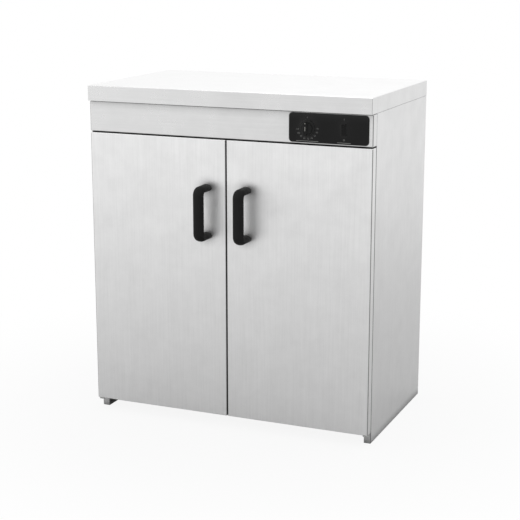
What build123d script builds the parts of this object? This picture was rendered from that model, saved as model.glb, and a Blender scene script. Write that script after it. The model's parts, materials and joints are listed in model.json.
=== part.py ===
from build123d import *

import os
from math import cos, radians, sin

# Plate warmer cabinet: a double-skinned stainless steel hot cupboard with two hinged doors.
#
# Frame: millimetres, +Z up, the doors face -Y, and the origin is on the floor under the middle of
# the whole object. Sheet-metal pieces are pans: a flat face whose four edges fold back as flanges.
# A side of -1 is the left of someone who faces the doors, and +1 is the right.

# ---------------------------------------------------------------- overall sizes
WIDTH = 750.0  # across the side panels, the fascia and the worktop
HEIGHT = 855.0  # floor to worktop surface
BODY_DEPTH = 412.0  # side panel, from its front flange to its rear flange
WALL = 18.0  # double wall, from the outer skin's face to the liner's face
FRONT_DEPTH = 26.0  # how far the doors and the fascia stand in front of the side panels

# ---------------------------------------------------------------- sheet metal
SHEET = 1.0  # casing and liners
BEND = 2.0  # outer radius of a fold in that sheet
FASCIA_SHEET = 1.2
TOP_SHEET = 1.2
TOP_BEND = 2.5
SKIRT = 39.0  # depth of the worktop's edge
HEM = 12.0  # width of the worktop's inward hem
TOP_FRONT_OVERHANG = 10.0  # worktop past the door faces
TOP_REAR_OVERHANG = 2.0  # worktop past the rear flanges

# ---------------------------------------------------------------- doors
DOOR_THICKNESS = 23.0
DOOR_BOTTOM = 29.0  # floor to the lower edge of the doors
DOOR_GAP = 2.0  # between the two doors
FASCIA_HEIGHT = 76.0
FASCIA_TOP_GAP = 1.0  # between the fascia and the worktop
FASCIA_GAP = 3.0  # between the doors and the fascia
DOOR_LINER_FLANGE = 6.0
DOOR_BOARD_MARGIN = 22.0  # edge of the insulation board to the edge of the door

# ---------------------------------------------------------------- pivot hinges
PIVOT_INSET_X = 8.0  # from the door's outer edge to the hinge axis
PIVOT_INSET_Y = 10.0  # from the door's face to the hinge axis
PIN_RADIUS = 3.0
PIN_CLEARANCE = 0.05
BUSH_RADIUS = 5.0
BUSH_LENGTH = 12.0
BUSH_COLLAR_RADIUS = 7.0
RUNNING_GAP = 0.2  # between faces that slide past each other
HINGE_PLATE = 3.0  # gauge of the lower hinge bracket
HINGE_TONGUE_WIDTH = 13.0
HINGE_LEG = 20.0
RIVET_HEAD = (4.5, 1.0)  # radius and height of the lower pin's head
PIVOT_HEAD_RADIUS = 5.5
PIVOT_HEAD_HEIGHT = 3.0

# ---------------------------------------------------------------- bow handles
HANDLE_X = 53.0  # from the gap between the doors to a handle's centreline
HANDLE_DROP = 181.0  # from the doors' upper edge to the middle of a handle
HANDLE_PITCH = 120.0  # between the two fixing screws
HANDLE_REACH = 56.0  # door face to the front of the grip
GRIP_WIDTH = 26.0
GRIP_DEPTH = 18.0
GRIP_ROUND = 8.0  # corner radius of the grip's section
HANDLE_BEND = 13.5  # centreline radius of each corner
HANDLE_THREAD_DEPTH = 16.0

# ---------------------------------------------------------------- screws
SCREW_RADIUS = 2.0
SCREW_HOLE_CLEARANCE = 0.2
SCREW_HEAD_RADIUS = 3.8
SCREW_HEAD_HEIGHT = 2.2
SCREW_LENGTH = 7.0
HANDLE_SCREW_RADIUS = 2.4
HANDLE_SCREW_HEAD_RADIUS = 4.6
HANDLE_SCREW_HEAD_HEIGHT = 2.2

# ---------------------------------------------------------------- chamber
DOOR_LAP = 24.0  # how far the doors reach above the chamber's ceiling
CEILING_FLANGE = 38.0
BASE_Z = 30.0  # underside of the base pan
BASE_FLANGE = 48.0
DECK_RISE = 1.0  # top of the perforated deck above the base pan's edge
DECK_CLEARANCE = 1.0
DECK_SLOT = (52.0, 7.0)
DECK_SLOT_PITCH = (80.0, 44.0)
DECK_SLOT_MARGIN = 45.0  # least distance from the slots to the deck's edges
BOARD_CLEARANCE = 1.0  # round each insulation board
WALL_BOARD_START = 60.0  # floor to the lower edge of the side walls' boards
CEILING_BOARD = 25.0

# ---------------------------------------------------------------- shelf and its racks
SHELF_Z = 385.0  # centreline height of the shelf's frame rod
SHELF_ROD = 3.0  # radius of the frame rod
SHELF_BEARER = 2.5
SHELF_WIRE = 1.6
SHELF_REST = 0.2  # shelf's frame above the clips
SHELF_SIDE_GAP = 9.0  # chamber wall to the outside of the shelf
SHELF_END_GAP = 20.0  # chamber front and rear to the outside of the shelf
SHELF_CORNER = 18.0
SHELF_WIRE_PITCH = 27.0  # least distance between two grid wires
WELD_SINK = 0.5  # how far the grid wires are pressed into the rods they cross
RACK_BOTTOM = 165.0
RACK_TOP_GAP = 97.0  # racks to the chamber's ceiling
RACK_WIDTH = 16.0
RACK_DEPTH = 5.0
RACK_SLOT = (9.0, 3.0)
RACK_SLOT_PITCH = 50.0
RACK_INSET = 75.0  # chamber front and rear to each rack's centreline
CLIP_REACH = 13.0
CLIP_PLATE = 2.0
CLIP_WIDTH = 8.0
CLIP_APRON = 12.0

# ---------------------------------------------------------------- heating element
ELEMENT_RADIUS = 4.25
ELEMENT_Z = 52.0
ELEMENT_BEND = 30.0
ELEMENT_SIDE_GAP = 57.0  # chamber walls to the loop
ELEMENT_INNER = 160.0  # half the width of its front recess
ELEMENT_TAILS = 45.0  # half the distance between its two tails
ELEMENT_FRONT = 75.0  # chamber front to the loop
ELEMENT_REAR_GAP = 83.0  # loop to the rear liner
ELEMENT_TAIL_OUT = 9.0  # tail past the rear liner's face
ELEMENT_HOLE = 7.0
BRACKET_PLATE = 1.5
BRACKET_WIDTH = 18.0
BRACKET_FOOT = 12.0

# ---------------------------------------------------------------- controls
PLATE_INSET = 10.0  # from the fascia's right end to the control plate
PLATE_SIZE = (200.0, 70.5)
PLATE_CORNER = 9.0
PLATE_THICKNESS = 1.2
KNOB_FROM_PLATE = (-53.0, -1.0)  # from the plate's centre, along X and Z
KNOB_RADIUS = 20.0
KNOB_SKIRT = 3.5
KNOB_BODY_RADIUS = 15.5
KNOB_BODY_HEIGHT = 9.0
KNOB_REACH = 17.0
KNOB_BAR = (9.0, 33.0)
KNOB_STAND_OFF = 0.6  # plate to the back of the knob
INDEX_LINE = (2.0, 10.0)  # white line in the middle of the knob's bar
INDEX_DOT = 1.4  # radius of the dot at the end that points
INDEX_DEPTH = 1.0
SPINDLE_RADIUS = 3.0
SPINDLE_IN_KNOB = 11.0
SPINDLE_IN_BODY = 12.0
THERMOSTAT_SIZE = (46.0, 34.0, 28.0)  # along X, Y and Z
THERMOSTAT_NECK_RADIUS = 5.0
BLADE_SIZE = (0.8, 8.0, 6.3)
SWITCH_FROM_PLATE = (38.5, -0.5)
BEZEL_SIZE = (14.0, 31.0)
BEZEL_HEIGHT = 2.0
ROCKER_SIZE = (10.4, 25.0)
ROCKER_CLEARANCE = 0.4
ROCKER_EDGE = 5.0  # pivot to the face at the rocker's ends
ROCKER_WAIST = 3.4  # pivot to the face at the rocker's middle
ROCKER_TILT = 7.0  # degrees either side of level
TRUNNION_RADIUS = 1.4
TRUNNION_LENGTH = 0.9
SWITCH_BODY_DEPTH = 22.0
SWITCH_BODY_INSET = 0.9  # bezel edge to the body behind it
SWITCH_POCKET = 6.0
BULB_RADIUS = 3.0
BULB_LENGTH = 90.0
CAPILLARY_RADIUS = 1.0
CAPILLARY_BEND = 12.0
CAPILLARY_RUN = 110.0  # frame plane to the capillary's drop
BULB_DROP = 15.0  # ceiling to the bulb's centreline
BULB_CLIP_PLATE = 1.5
BULB_CLIP_WIDTH = 10.0

# ---------------------------------------------------------------- catches
CATCH_X = 42.0
CATCH_SIZE = (46.0, 15.0, 14.0)
CATCH_POLE = (40.0, 3.0, 1.2)
STRIKE_SIZE = (44.0, 1.4, 15.0)

# ---------------------------------------------------------------- back
GLAND_INSET = 85.0  # from the casing's right side
GLAND_DROP = 34.0  # from the worktop's lower edge
GLAND_BORE = 5.0
GLAND_THREAD = 9.8
GLAND_HEX = 24.0  # across flats
GLAND_HEX_HEIGHT = 5.0
GLAND_CAP_RADIUS = 11.0
GLAND_REACH = 16.0  # back panel to the end of the gland
GLAND_NUT = 4.0
PANEL_EDGE = 2.0  # back panel's edge to the casing's edge
PANEL_SCREW_INSET = 39.0  # from the panel's ends to the first and last screws
PANEL_SCREW_COUNT = 5  # down each side
VENT_SLOT = (46.0, 5.0)
VENT_PITCH = (62.0, 12.0)
VENT_COUNTS = (5, 2)
VENT_DROP = 32.0  # from the worktop's lower edge
TERMINAL_SIZE = (52.0, 18.0, 16.0)
TERMINAL_GAP = 10.0  # from the gland's nut
TERMINAL_WAYS = 4
STIFFENER_DEPTH = 22.0
STIFFENER_WIDTH = 44.0
STIFFENER_LIP = 15.0
STIFFENER_END_GAP = 30.0

# ---------------------------------------------------------------- positions that follow
X_OUT = WIDTH / 2
X_IN = X_OUT - WALL
Y_FRAME = (FRONT_DEPTH + HANDLE_REACH - BODY_DEPTH - SHEET - GLAND_REACH) / 2
Y_DOOR = Y_FRAME - FRONT_DEPTH
Y_DOOR_BACK = Y_DOOR + DOOR_THICKNESS
Y_REAR = Y_FRAME + BODY_DEPTH
Y_BACK = Y_REAR + SHEET
Y_CHAMBER = Y_REAR - WALL - SHEET  # face of the rear liner
Y_PLATE = Y_DOOR - PLATE_THICKNESS
Z_WALL = HEIGHT - SKIRT
Z_FASCIA = Z_WALL - FASCIA_TOP_GAP - FASCIA_HEIGHT
DOOR_TOP = Z_FASCIA - FASCIA_GAP
CEILING_Z = DOOR_TOP - DOOR_LAP  # underside of the chamber's ceiling
Z_LINER = CEILING_Z + CEILING_FLANGE
Z_TONGUE = DOOR_BOTTOM - RUNNING_GAP - SHEET  # top of the lower hinge's tongue, under the collar
Z_DECK = BASE_Z + BASE_FLANGE + DECK_RISE
DOOR_WIDTH = X_OUT - DOOR_GAP / 2
DOOR_HEIGHT = DOOR_TOP - DOOR_BOTTOM
DOOR_MID_X = (X_OUT + DOOR_GAP / 2) / 2
DOOR_MID_Z = (DOOR_TOP + DOOR_BOTTOM) / 2
PIVOT_X = X_OUT - PIVOT_INSET_X
PIVOT_Y = Y_DOOR + PIVOT_INSET_Y
HANDLE_Z = DOOR_TOP - HANDLE_DROP
HANDLE_HEIGHTS = (HANDLE_Z - HANDLE_PITCH / 2, HANDLE_Z + HANDLE_PITCH / 2)
CHAMBER_DEPTH = Y_CHAMBER - Y_FRAME
CHAMBER_MID_Y = (Y_CHAMBER + Y_FRAME) / 2
BODY_MID_Y = (Y_FRAME + Y_REAR) / 2
CLIP_TOP = SHELF_Z - SHELF_ROD - SHELF_REST
RACK_LENGTH = CEILING_Z - RACK_TOP_GAP - RACK_BOTTOM
RACK_YS = (Y_FRAME + RACK_INSET, Y_CHAMBER - RACK_INSET)
ELEMENT_SIDE = X_IN - ELEMENT_SIDE_GAP  # half the width of the loop
PLATE_X = X_OUT - PLATE_INSET - PLATE_SIZE[0] / 2
PLATE_Z = Z_FASCIA + FASCIA_HEIGHT / 2
KNOB_X = PLATE_X + KNOB_FROM_PLATE[0]
KNOB_Z = PLATE_Z + KNOB_FROM_PLATE[1]
SWITCH_X = PLATE_X + SWITCH_FROM_PLATE[0]
SWITCH_Z = PLATE_Z + SWITCH_FROM_PLATE[1]
SWITCH_CUTOUT = (BEZEL_SIZE[0] - SHEET, BEZEL_SIZE[1] - SHEET)
GLAND_X = X_OUT - GLAND_INSET
GLAND_Z = Z_WALL - GLAND_DROP
TERMINAL_X = GLAND_X - GLAND_HEX / 2 - TERMINAL_GAP - TERMINAL_SIZE[0] / 2
VENT_Z = Z_WALL - VENT_DROP
PANEL_SCREW_X = X_OUT - WALL / 2
PANEL_SCREW_SPAN = Z_WALL - PANEL_EDGE - BASE_Z - 2 * PANEL_SCREW_INSET
PANEL_SCREW_ZS = [
    BASE_Z + PANEL_SCREW_INSET + PANEL_SCREW_SPAN * n / (PANEL_SCREW_COUNT - 1)
    for n in range(PANEL_SCREW_COUNT)
]
TOP_SCREW_X = X_OUT - HEM / 2
TOP_SCREW_YS = RACK_YS
INDEX_DOT_AT = (KNOB_X, KNOB_Z + KNOB_BAR[1] / 2 - SHEET - 2 * INDEX_DOT)
BUSH_BORE = PIN_RADIUS + PIN_CLEARANCE


def facing(side):
    """Short name of a side, for the nodes."""
    return "left" if side < 0 else "right"


def write(part, name):
    """Labels a finished piece and writes its STEP file."""
    part.label = name
    export_step(part, f"parts/{name}.step")


def pan(plane, length, breadth, depth, gauge=SHEET, bend=BEND):
    """A folded pan. Its face lies on the plane, and its flanges turn along the plane's normal."""
    along = Axis(plane.origin, plane.z_dir)
    with BuildPart() as folded:
        with BuildSketch(plane):
            Rectangle(length, breadth)
        extrude(amount=depth)
        rim = folded.faces().sort_by(along)[-1]
        fillet(folded.edges() - rim.edges(), bend)
        offset(amount=-gauge, openings=folded.faces().sort_by(along)[-1])
    return folded.part


def screw(plane, head_radius, head_height, shank_radius, shank_length):
    """A pan-head screw. Its head stands on the plane and its shank goes in behind it."""
    with BuildPart() as fixing:
        with BuildSketch(plane):
            Circle(head_radius)
        extrude(amount=head_height)
        crown = fixing.faces().sort_by(Axis(plane.origin, plane.z_dir))[-1]
        chamfer(crown.edges(), head_height * 0.45)
        with BuildSketch(plane):
            Circle(shank_radius)
        extrude(amount=-shank_length)
    return fixing.part


# ================================================================ casing
def side_panel(side):
    """Outer side skin, down to the floor: its folds make the front edge and the foot."""
    face = Plane(origin=(side * X_OUT, BODY_MID_Y, Z_WALL / 2), x_dir=(0, 1, 0), z_dir=(-side, 0, 0))
    blank = pan(face, BODY_DEPTH, Z_WALL, WALL)
    with BuildPart() as panel:
        add(blank)
        with BuildSketch(Plane.XZ.offset(-Y_FRAME)):
            with Locations((side * PIVOT_X, Z_TONGUE - HINGE_PLATE / 2)):
                Rectangle(HINGE_TONGUE_WIDTH, HINGE_PLATE)
        extrude(amount=-BEND, mode=Mode.SUBTRACT)
        with BuildSketch(Plane.XZ.offset(-Y_REAR)):
            with Locations(*[(side * PANEL_SCREW_X, z) for z in PANEL_SCREW_ZS]):
                Circle(SCREW_RADIUS + SCREW_HOLE_CLEARANCE)
        extrude(amount=SHEET, mode=Mode.SUBTRACT)
        with BuildSketch(Plane.XY.offset(Z_WALL)):
            with Locations(*[(side * TOP_SCREW_X, y) for y in TOP_SCREW_YS]):
                Circle(SCREW_RADIUS + SCREW_HOLE_CLEARANCE)
        extrude(amount=-SHEET, mode=Mode.SUBTRACT)
    return panel.part


def side_liner(side):
    """Inner side skin. It nests in the side panel and makes the chamber's wall."""
    depth = BODY_DEPTH - 2 * SHEET
    tall = Z_LINER - SHEET
    face = Plane(origin=(side * X_IN, BODY_MID_Y, SHEET + tall / 2), x_dir=(0, 1, 0), z_dir=(side, 0, 0))
    blank = pan(face, depth, tall, WALL - BEND)
    with BuildPart() as liner:
        add(blank)
        with BuildSketch(Plane.XZ.offset(-Y_FRAME)):
            with Locations((side * PIVOT_X, Z_TONGUE - HINGE_PLATE / 2)):
                Rectangle(HINGE_TONGUE_WIDTH, HINGE_PLATE)
        extrude(amount=-2 * SHEET, mode=Mode.SUBTRACT)
        with BuildSketch(Plane.XZ.offset(-Y_REAR)):
            with Locations(*[(side * PANEL_SCREW_X, z) for z in PANEL_SCREW_ZS]):
                Circle(SCREW_RADIUS + SCREW_HOLE_CLEARANCE)
        extrude(amount=2 * SHEET, mode=Mode.SUBTRACT)
    return liner.part


def wall_board(side):
    """Mineral wool between a side panel and its liner."""
    tall = Z_LINER - SHEET - BOARD_CLEARANCE - WALL_BOARD_START
    front = Y_FRAME + 2 * SHEET + BOARD_CLEARANCE
    depth = Y_BACK - SCREW_LENGTH - BOARD_CLEARANCE - front
    with BuildPart() as board:
        with BuildSketch(Plane.YZ.offset(side * (X_IN + SHEET))):
            with Locations((front + depth / 2, WALL_BOARD_START + tall / 2)):
                Rectangle(depth, tall)
        extrude(amount=side * (WALL - 2 * SHEET))
    return board.part


def back_panel():
    """Outer back skin, screwed to the rear flanges, with the vents and the cable gland's hole."""
    tall = Z_WALL - PANEL_EDGE - BASE_Z
    with BuildPart() as panel:
        with BuildSketch(Plane.XZ.offset(-Y_REAR)):
            with Locations((0, BASE_Z + tall / 2)):
                RectangleRounded(WIDTH - 2 * PANEL_EDGE, tall, BEND)
            with Locations((0, VENT_Z)):
                with GridLocations(*VENT_PITCH, *VENT_COUNTS):
                    SlotOverall(*VENT_SLOT, mode=Mode.SUBTRACT)
            with Locations((GLAND_X, GLAND_Z)):
                Circle(GLAND_THREAD + SCREW_HOLE_CLEARANCE, mode=Mode.SUBTRACT)
            with Locations(*[(s * PANEL_SCREW_X, z) for s in (-1, 1) for z in PANEL_SCREW_ZS]):
                Circle(SCREW_RADIUS + SCREW_HOLE_CLEARANCE, mode=Mode.SUBTRACT)
        extrude(amount=-SHEET)
    return panel.part


def back_liner():
    """Inner back skin. Its flanges reach the back panel and keep the wall's thickness."""
    tall = Z_LINER - BASE_Z
    face = Plane(origin=(0, Y_CHAMBER, BASE_Z + tall / 2), x_dir=(1, 0, 0), z_dir=(0, 1, 0))
    blank = pan(face, 2 * X_IN, tall, Y_REAR - Y_CHAMBER)
    with BuildPart() as liner:
        add(blank)
        with BuildSketch(Plane.XZ.offset(-Y_CHAMBER)):
            with Locations((-ELEMENT_TAILS, ELEMENT_Z), (ELEMENT_TAILS, ELEMENT_Z)):
                Circle(ELEMENT_HOLE)
        extrude(amount=-SHEET, mode=Mode.SUBTRACT)
    return liner.part


def back_board():
    """Mineral wool behind the back liner, above the element's tails."""
    tall = Z_LINER - SHEET - BOARD_CLEARANCE - WALL_BOARD_START - ELEMENT_HOLE
    with BuildPart() as board:
        with BuildSketch(Plane.XZ.offset(-Y_CHAMBER - SHEET)):
            with Locations((0, WALL_BOARD_START + ELEMENT_HOLE + tall / 2)):
                Rectangle(2 * (X_IN - SHEET - BOARD_CLEARANCE), tall)
        extrude(amount=-(Y_REAR - Y_CHAMBER - SHEET))
    return board.part


def chamber_ceiling():
    """Top of the chamber. Its front flange is the rail that the doors close on."""
    face = Plane(origin=(0, CHAMBER_MID_Y, CEILING_Z), x_dir=(1, 0, 0), z_dir=(0, 0, 1))
    blank = pan(face, 2 * X_IN, CHAMBER_DEPTH, CEILING_FLANGE)
    with BuildPart() as ceiling:
        add(blank)
        with BuildSketch(Plane.XY.offset(CEILING_Z)):
            with Locations((KNOB_X, Y_FRAME + CAPILLARY_RUN)):
                Circle(CAPILLARY_RADIUS + SCREW_HOLE_CLEARANCE)
        extrude(amount=SHEET, mode=Mode.SUBTRACT)
    return ceiling.part


def ceiling_board():
    """Mineral wool on top of the chamber, with a hole for the capillary."""
    inset = SHEET + BOARD_CLEARANCE
    with BuildPart() as board:
        with BuildSketch(Plane.XY.offset(CEILING_Z + SHEET)):
            with Locations((0, CHAMBER_MID_Y)):
                Rectangle(2 * (X_IN - inset), CHAMBER_DEPTH - 2 * inset)
            with Locations((KNOB_X, Y_FRAME + CAPILLARY_RUN)):
                Circle(2 * CAPILLARY_RADIUS, mode=Mode.SUBTRACT)
        extrude(amount=CEILING_BOARD)
    return board.part


def base_pan():
    """Floor of the cabinet. Its front flange is the sill, and its rear one lets the tails through."""
    face = Plane(origin=(0, CHAMBER_MID_Y, BASE_Z), x_dir=(1, 0, 0), z_dir=(0, 0, 1))
    blank = pan(face, 2 * X_IN, CHAMBER_DEPTH, BASE_FLANGE)
    with BuildPart() as base:
        add(blank)
        with BuildSketch(Plane.XZ.offset(-Y_CHAMBER)):
            with Locations((-ELEMENT_TAILS, ELEMENT_Z), (ELEMENT_TAILS, ELEMENT_Z)):
                Circle(ELEMENT_HOLE)
        extrude(amount=SHEET, mode=Mode.SUBTRACT)
    return base.part


def worktop():
    """Folded worktop: a deep skirt all round, turned in at the bottom as a hem."""
    depth = BODY_DEPTH + FRONT_DEPTH + TOP_FRONT_OVERHANG + TOP_REAR_OVERHANG
    middle = Y_DOOR - TOP_FRONT_OVERHANG + depth / 2
    with BuildPart() as top:
        with BuildSketch(Plane.XY.offset(Z_WALL)):
            with Locations((0, middle)):
                Rectangle(WIDTH, depth)
        extrude(amount=SKIRT)
        fillet(top.edges(), TOP_BEND)
        hollow = offset(top.part, amount=-TOP_SHEET, mode=Mode.PRIVATE)
        add(hollow, mode=Mode.SUBTRACT)
        with BuildSketch(Plane.XY.offset(Z_WALL)):
            with Locations((0, middle)):
                RectangleRounded(WIDTH - 2 * HEM, depth - 2 * HEM, TOP_BEND)
        extrude(amount=TOP_SHEET, mode=Mode.SUBTRACT)
        with BuildSketch(Plane.XY.offset(Z_WALL)):
            with Locations(*[(s * TOP_SCREW_X, y) for s in (-1, 1) for y in TOP_SCREW_YS]):
                Circle(SCREW_RADIUS + SCREW_HOLE_CLEARANCE)
        extrude(amount=TOP_SHEET, mode=Mode.SUBTRACT)
    return top.part


def worktop_stiffeners():
    """Two top-hat channels under the worktop, from side to side."""
    top = HEIGHT - TOP_SHEET
    half = STIFFENER_WIDTH / 2
    length = WIDTH - 2 * STIFFENER_END_GAP
    with BuildPart() as channels:
        for y in RACK_YS:
            with BuildSketch(Plane.YZ.offset(-length / 2)):
                with BuildLine():
                    hat = FilletPolyline(
                        (y - half - STIFFENER_LIP, top - TOP_SHEET / 2),
                        (y - half, top - TOP_SHEET / 2),
                        (y - half, top - STIFFENER_DEPTH),
                        (y + half, top - STIFFENER_DEPTH),
                        (y + half, top - TOP_SHEET / 2),
                        (y + half + STIFFENER_LIP, top - TOP_SHEET / 2),
                        radius=BEND,
                    )
                trace(hat, line_width=TOP_SHEET)
            extrude(amount=length)
    return channels.part


def front_fascia():
    """Panel above the doors, with the holes for the thermostat, the switch and the top pivots."""
    face = Plane(origin=(0, Y_DOOR, PLATE_Z), x_dir=(1, 0, 0), z_dir=(0, 1, 0))
    blank = pan(face, WIDTH, FASCIA_HEIGHT, FRONT_DEPTH, FASCIA_SHEET)
    with BuildPart() as fascia:
        add(blank)
        with BuildSketch(Plane.XZ.offset(-Y_DOOR)):
            with Locations((KNOB_X, KNOB_Z)):
                Circle(THERMOSTAT_NECK_RADIUS + SCREW_HOLE_CLEARANCE)
            with Locations((SWITCH_X, SWITCH_Z)):
                Rectangle(*SWITCH_CUTOUT)
        extrude(amount=-FASCIA_SHEET, mode=Mode.SUBTRACT)
        with BuildSketch(Plane.XY.offset(Z_FASCIA)):
            with Locations((-PIVOT_X, PIVOT_Y), (PIVOT_X, PIVOT_Y)):
                Circle(PIN_RADIUS + SCREW_HOLE_CLEARANCE)
        extrude(amount=FASCIA_SHEET, mode=Mode.SUBTRACT)
    return fascia.part


# ================================================================ chamber fittings
def perforated_deck():
    """Loose cover over the element: an inverted tray whose flanges stand on the base pan."""
    inset = SHEET + DECK_CLEARANCE
    floor = BASE_Z + SHEET
    size = (2 * (X_IN - inset), CHAMBER_DEPTH - 2 * inset)
    counts = [
        1 + int((size[n] - 2 * DECK_SLOT_MARGIN - DECK_SLOT[n]) // DECK_SLOT_PITCH[n]) for n in (0, 1)
    ]
    face = Plane(origin=(0, CHAMBER_MID_Y, Z_DECK), x_dir=(1, 0, 0), z_dir=(0, 0, -1))
    blank = pan(face, *size, Z_DECK - floor)
    with BuildPart() as deck:
        add(blank)
        with BuildSketch(Plane.XY.offset(Z_DECK)):
            with Locations((0, CHAMBER_MID_Y)):
                with GridLocations(*DECK_SLOT_PITCH, *counts):
                    SlotOverall(*DECK_SLOT)
        extrude(amount=-SHEET, mode=Mode.SUBTRACT)
        with BuildSketch(Plane.XZ.offset(inset - Y_CHAMBER)):
            with Locations((-ELEMENT_TAILS, floor), (ELEMENT_TAILS, floor)):
                Rectangle(2 * ELEMENT_HOLE, 2 * (ELEMENT_Z + ELEMENT_HOLE - floor))
        extrude(amount=SHEET + BEND, mode=Mode.SUBTRACT)
    return deck.part


def element_route():
    """Corners of the element's centreline, seen from above, from one tail to the other."""
    tail = Y_CHAMBER + ELEMENT_TAIL_OUT
    rear = Y_CHAMBER - ELEMENT_REAR_GAP
    front = Y_FRAME + ELEMENT_FRONT
    right = [
        (ELEMENT_TAILS, tail),
        (ELEMENT_TAILS, rear),
        (ELEMENT_SIDE, rear),
        (ELEMENT_SIDE, front),
        (ELEMENT_INNER, front),
        (ELEMENT_INNER, CHAMBER_MID_Y),
    ]
    return right + [(-x, y) for x, y in reversed(right)]


def heating_element():
    """Sheathed tubular element, bent to one loop with a recess at the front."""
    route = element_route()
    tail_end = Plane(origin=(*route[0], ELEMENT_Z), x_dir=(1, 0, 0), z_dir=(0, -1, 0))
    with BuildPart() as element:
        with BuildLine(Plane.XY.offset(ELEMENT_Z)):
            FilletPolyline(*route, radius=ELEMENT_BEND)
        with BuildSketch(tail_end):
            Circle(ELEMENT_RADIUS)
        sweep()
    return element.part


def element_brackets():
    """Three feet that carry the element: each is an angle with a hole round the tube."""
    floor = BASE_Z + SHEET
    tall = ELEMENT_Z + 2 * ELEMENT_RADIUS - floor
    side_y = CHAMBER_MID_Y
    with BuildPart() as brackets:
        for x in (-ELEMENT_SIDE, ELEMENT_SIDE):
            with BuildSketch(Plane.XZ.offset(-side_y)):
                with Locations((x, floor + tall / 2)):
                    Rectangle(BRACKET_WIDTH, tall)
                with Locations((x, ELEMENT_Z)):
                    Circle(ELEMENT_RADIUS + PIN_CLEARANCE, mode=Mode.SUBTRACT)
            extrude(amount=BRACKET_PLATE)
            with BuildSketch(Plane.XY.offset(floor)):
                with Locations((x, side_y)):
                    Rectangle(BRACKET_WIDTH, BRACKET_FOOT, align=(Align.CENTER, Align.MIN))
            extrude(amount=BRACKET_PLATE)
        with BuildSketch(Plane.YZ):
            with Locations((side_y, floor + tall / 2)):
                Rectangle(BRACKET_WIDTH, tall)
            with Locations((side_y, ELEMENT_Z)):
                Circle(ELEMENT_RADIUS + PIN_CLEARANCE, mode=Mode.SUBTRACT)
        extrude(amount=BRACKET_PLATE)
        with BuildSketch(Plane.XY.offset(floor)):
            with Locations((BRACKET_PLATE, side_y)):
                Rectangle(BRACKET_FOOT, BRACKET_WIDTH, align=(Align.MIN, Align.CENTER))
        extrude(amount=BRACKET_PLATE)
    return brackets.part


def shelf_racks(side):
    """Two slotted uprights on one wall of the chamber."""
    foot = Plane.XY.offset(RACK_BOTTOM)
    slots = int(RACK_LENGTH // RACK_SLOT_PITCH)
    with BuildPart() as racks:
        for y in RACK_YS:
            with BuildSketch(foot):
                with Locations((side * (X_IN - RACK_DEPTH / 2), y)):
                    Rectangle(RACK_DEPTH, RACK_WIDTH)
                with Locations((side * (X_IN - RACK_DEPTH / 2 + SHEET / 2), y)):
                    Rectangle(RACK_DEPTH - SHEET, RACK_WIDTH - 2 * SHEET, mode=Mode.SUBTRACT)
            extrude(amount=RACK_LENGTH)
            with BuildSketch(Plane.YZ.offset(side * (X_IN - RACK_DEPTH))):
                with Locations(*[(y, rack_slot_z(n)) for n in range(slots)]):
                    Rectangle(*RACK_SLOT)
            extrude(amount=side * SHEET, mode=Mode.SUBTRACT)
    return racks.part


def rack_slot_z(number):
    """Height of a rack's slot. One of them is the slot that carries the shelf's clips."""
    carrying = CLIP_TOP - CLIP_PLATE / 2
    below = int((carrying - RACK_BOTTOM) // RACK_SLOT_PITCH)
    return carrying + (number - below) * RACK_SLOT_PITCH


def shelf_clips():
    """Four folded clips, hooked into the racks' slots, that the shelf rests on."""
    face = X_IN - RACK_DEPTH
    with BuildPart() as clips:
        for side in (-1, 1):
            for y in RACK_YS:
                with BuildSketch(Plane.XZ.offset(-y)):
                    with Locations((side * (face + SHEET), CLIP_TOP)):
                        far = Align.MAX if side > 0 else Align.MIN
                        Rectangle(CLIP_REACH + SHEET, CLIP_PLATE, align=(far, Align.MAX))
                    with Locations((side * face, CLIP_TOP)):
                        Rectangle(CLIP_PLATE, CLIP_APRON, align=(far, Align.MAX))
                extrude(amount=CLIP_WIDTH / 2, both=True)
    return clips.part


def wire_shelf():
    """Welded wire shelf: a rounded rod frame, two bearers and a grid of wires on top."""
    outer_x = X_IN - SHELF_SIDE_GAP - SHELF_ROD
    front = Y_FRAME + SHELF_END_GAP + SHELF_ROD
    rear = Y_CHAMBER - SHELF_END_GAP - SHELF_ROD
    wire_z = SHELF_Z + SHELF_ROD + SHELF_WIRE - WELD_SINK
    spread = 2 * (outer_x - SHELF_CORNER)
    wires = 1 + int(spread // SHELF_WIRE_PITCH)
    corners = [(-outer_x, front), (outer_x, front), (outer_x, rear), (-outer_x, rear)]
    with BuildPart() as shelf:
        with BuildLine(Plane.XY.offset(SHELF_Z)):
            FilletPolyline(*corners, radius=SHELF_CORNER, close=True)
        with BuildSketch(Plane(origin=(0, front, SHELF_Z), x_dir=(0, 1, 0), z_dir=(1, 0, 0))):
            Circle(SHELF_ROD)
        sweep()
        with BuildSketch(Plane.YZ.offset(-outer_x)):
            with Locations(*[(front + (rear - front) * share, SHELF_Z) for share in (1 / 3, 2 / 3)]):
                Circle(SHELF_BEARER)
        extrude(amount=2 * outer_x)
        with BuildSketch(Plane.XZ.offset(-rear)):
            with Locations((0, wire_z)):
                with GridLocations(spread / (wires - 1), 1, wires, 1):
                    Circle(SHELF_WIRE)
        extrude(amount=rear - front)
    return shelf.part


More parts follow.
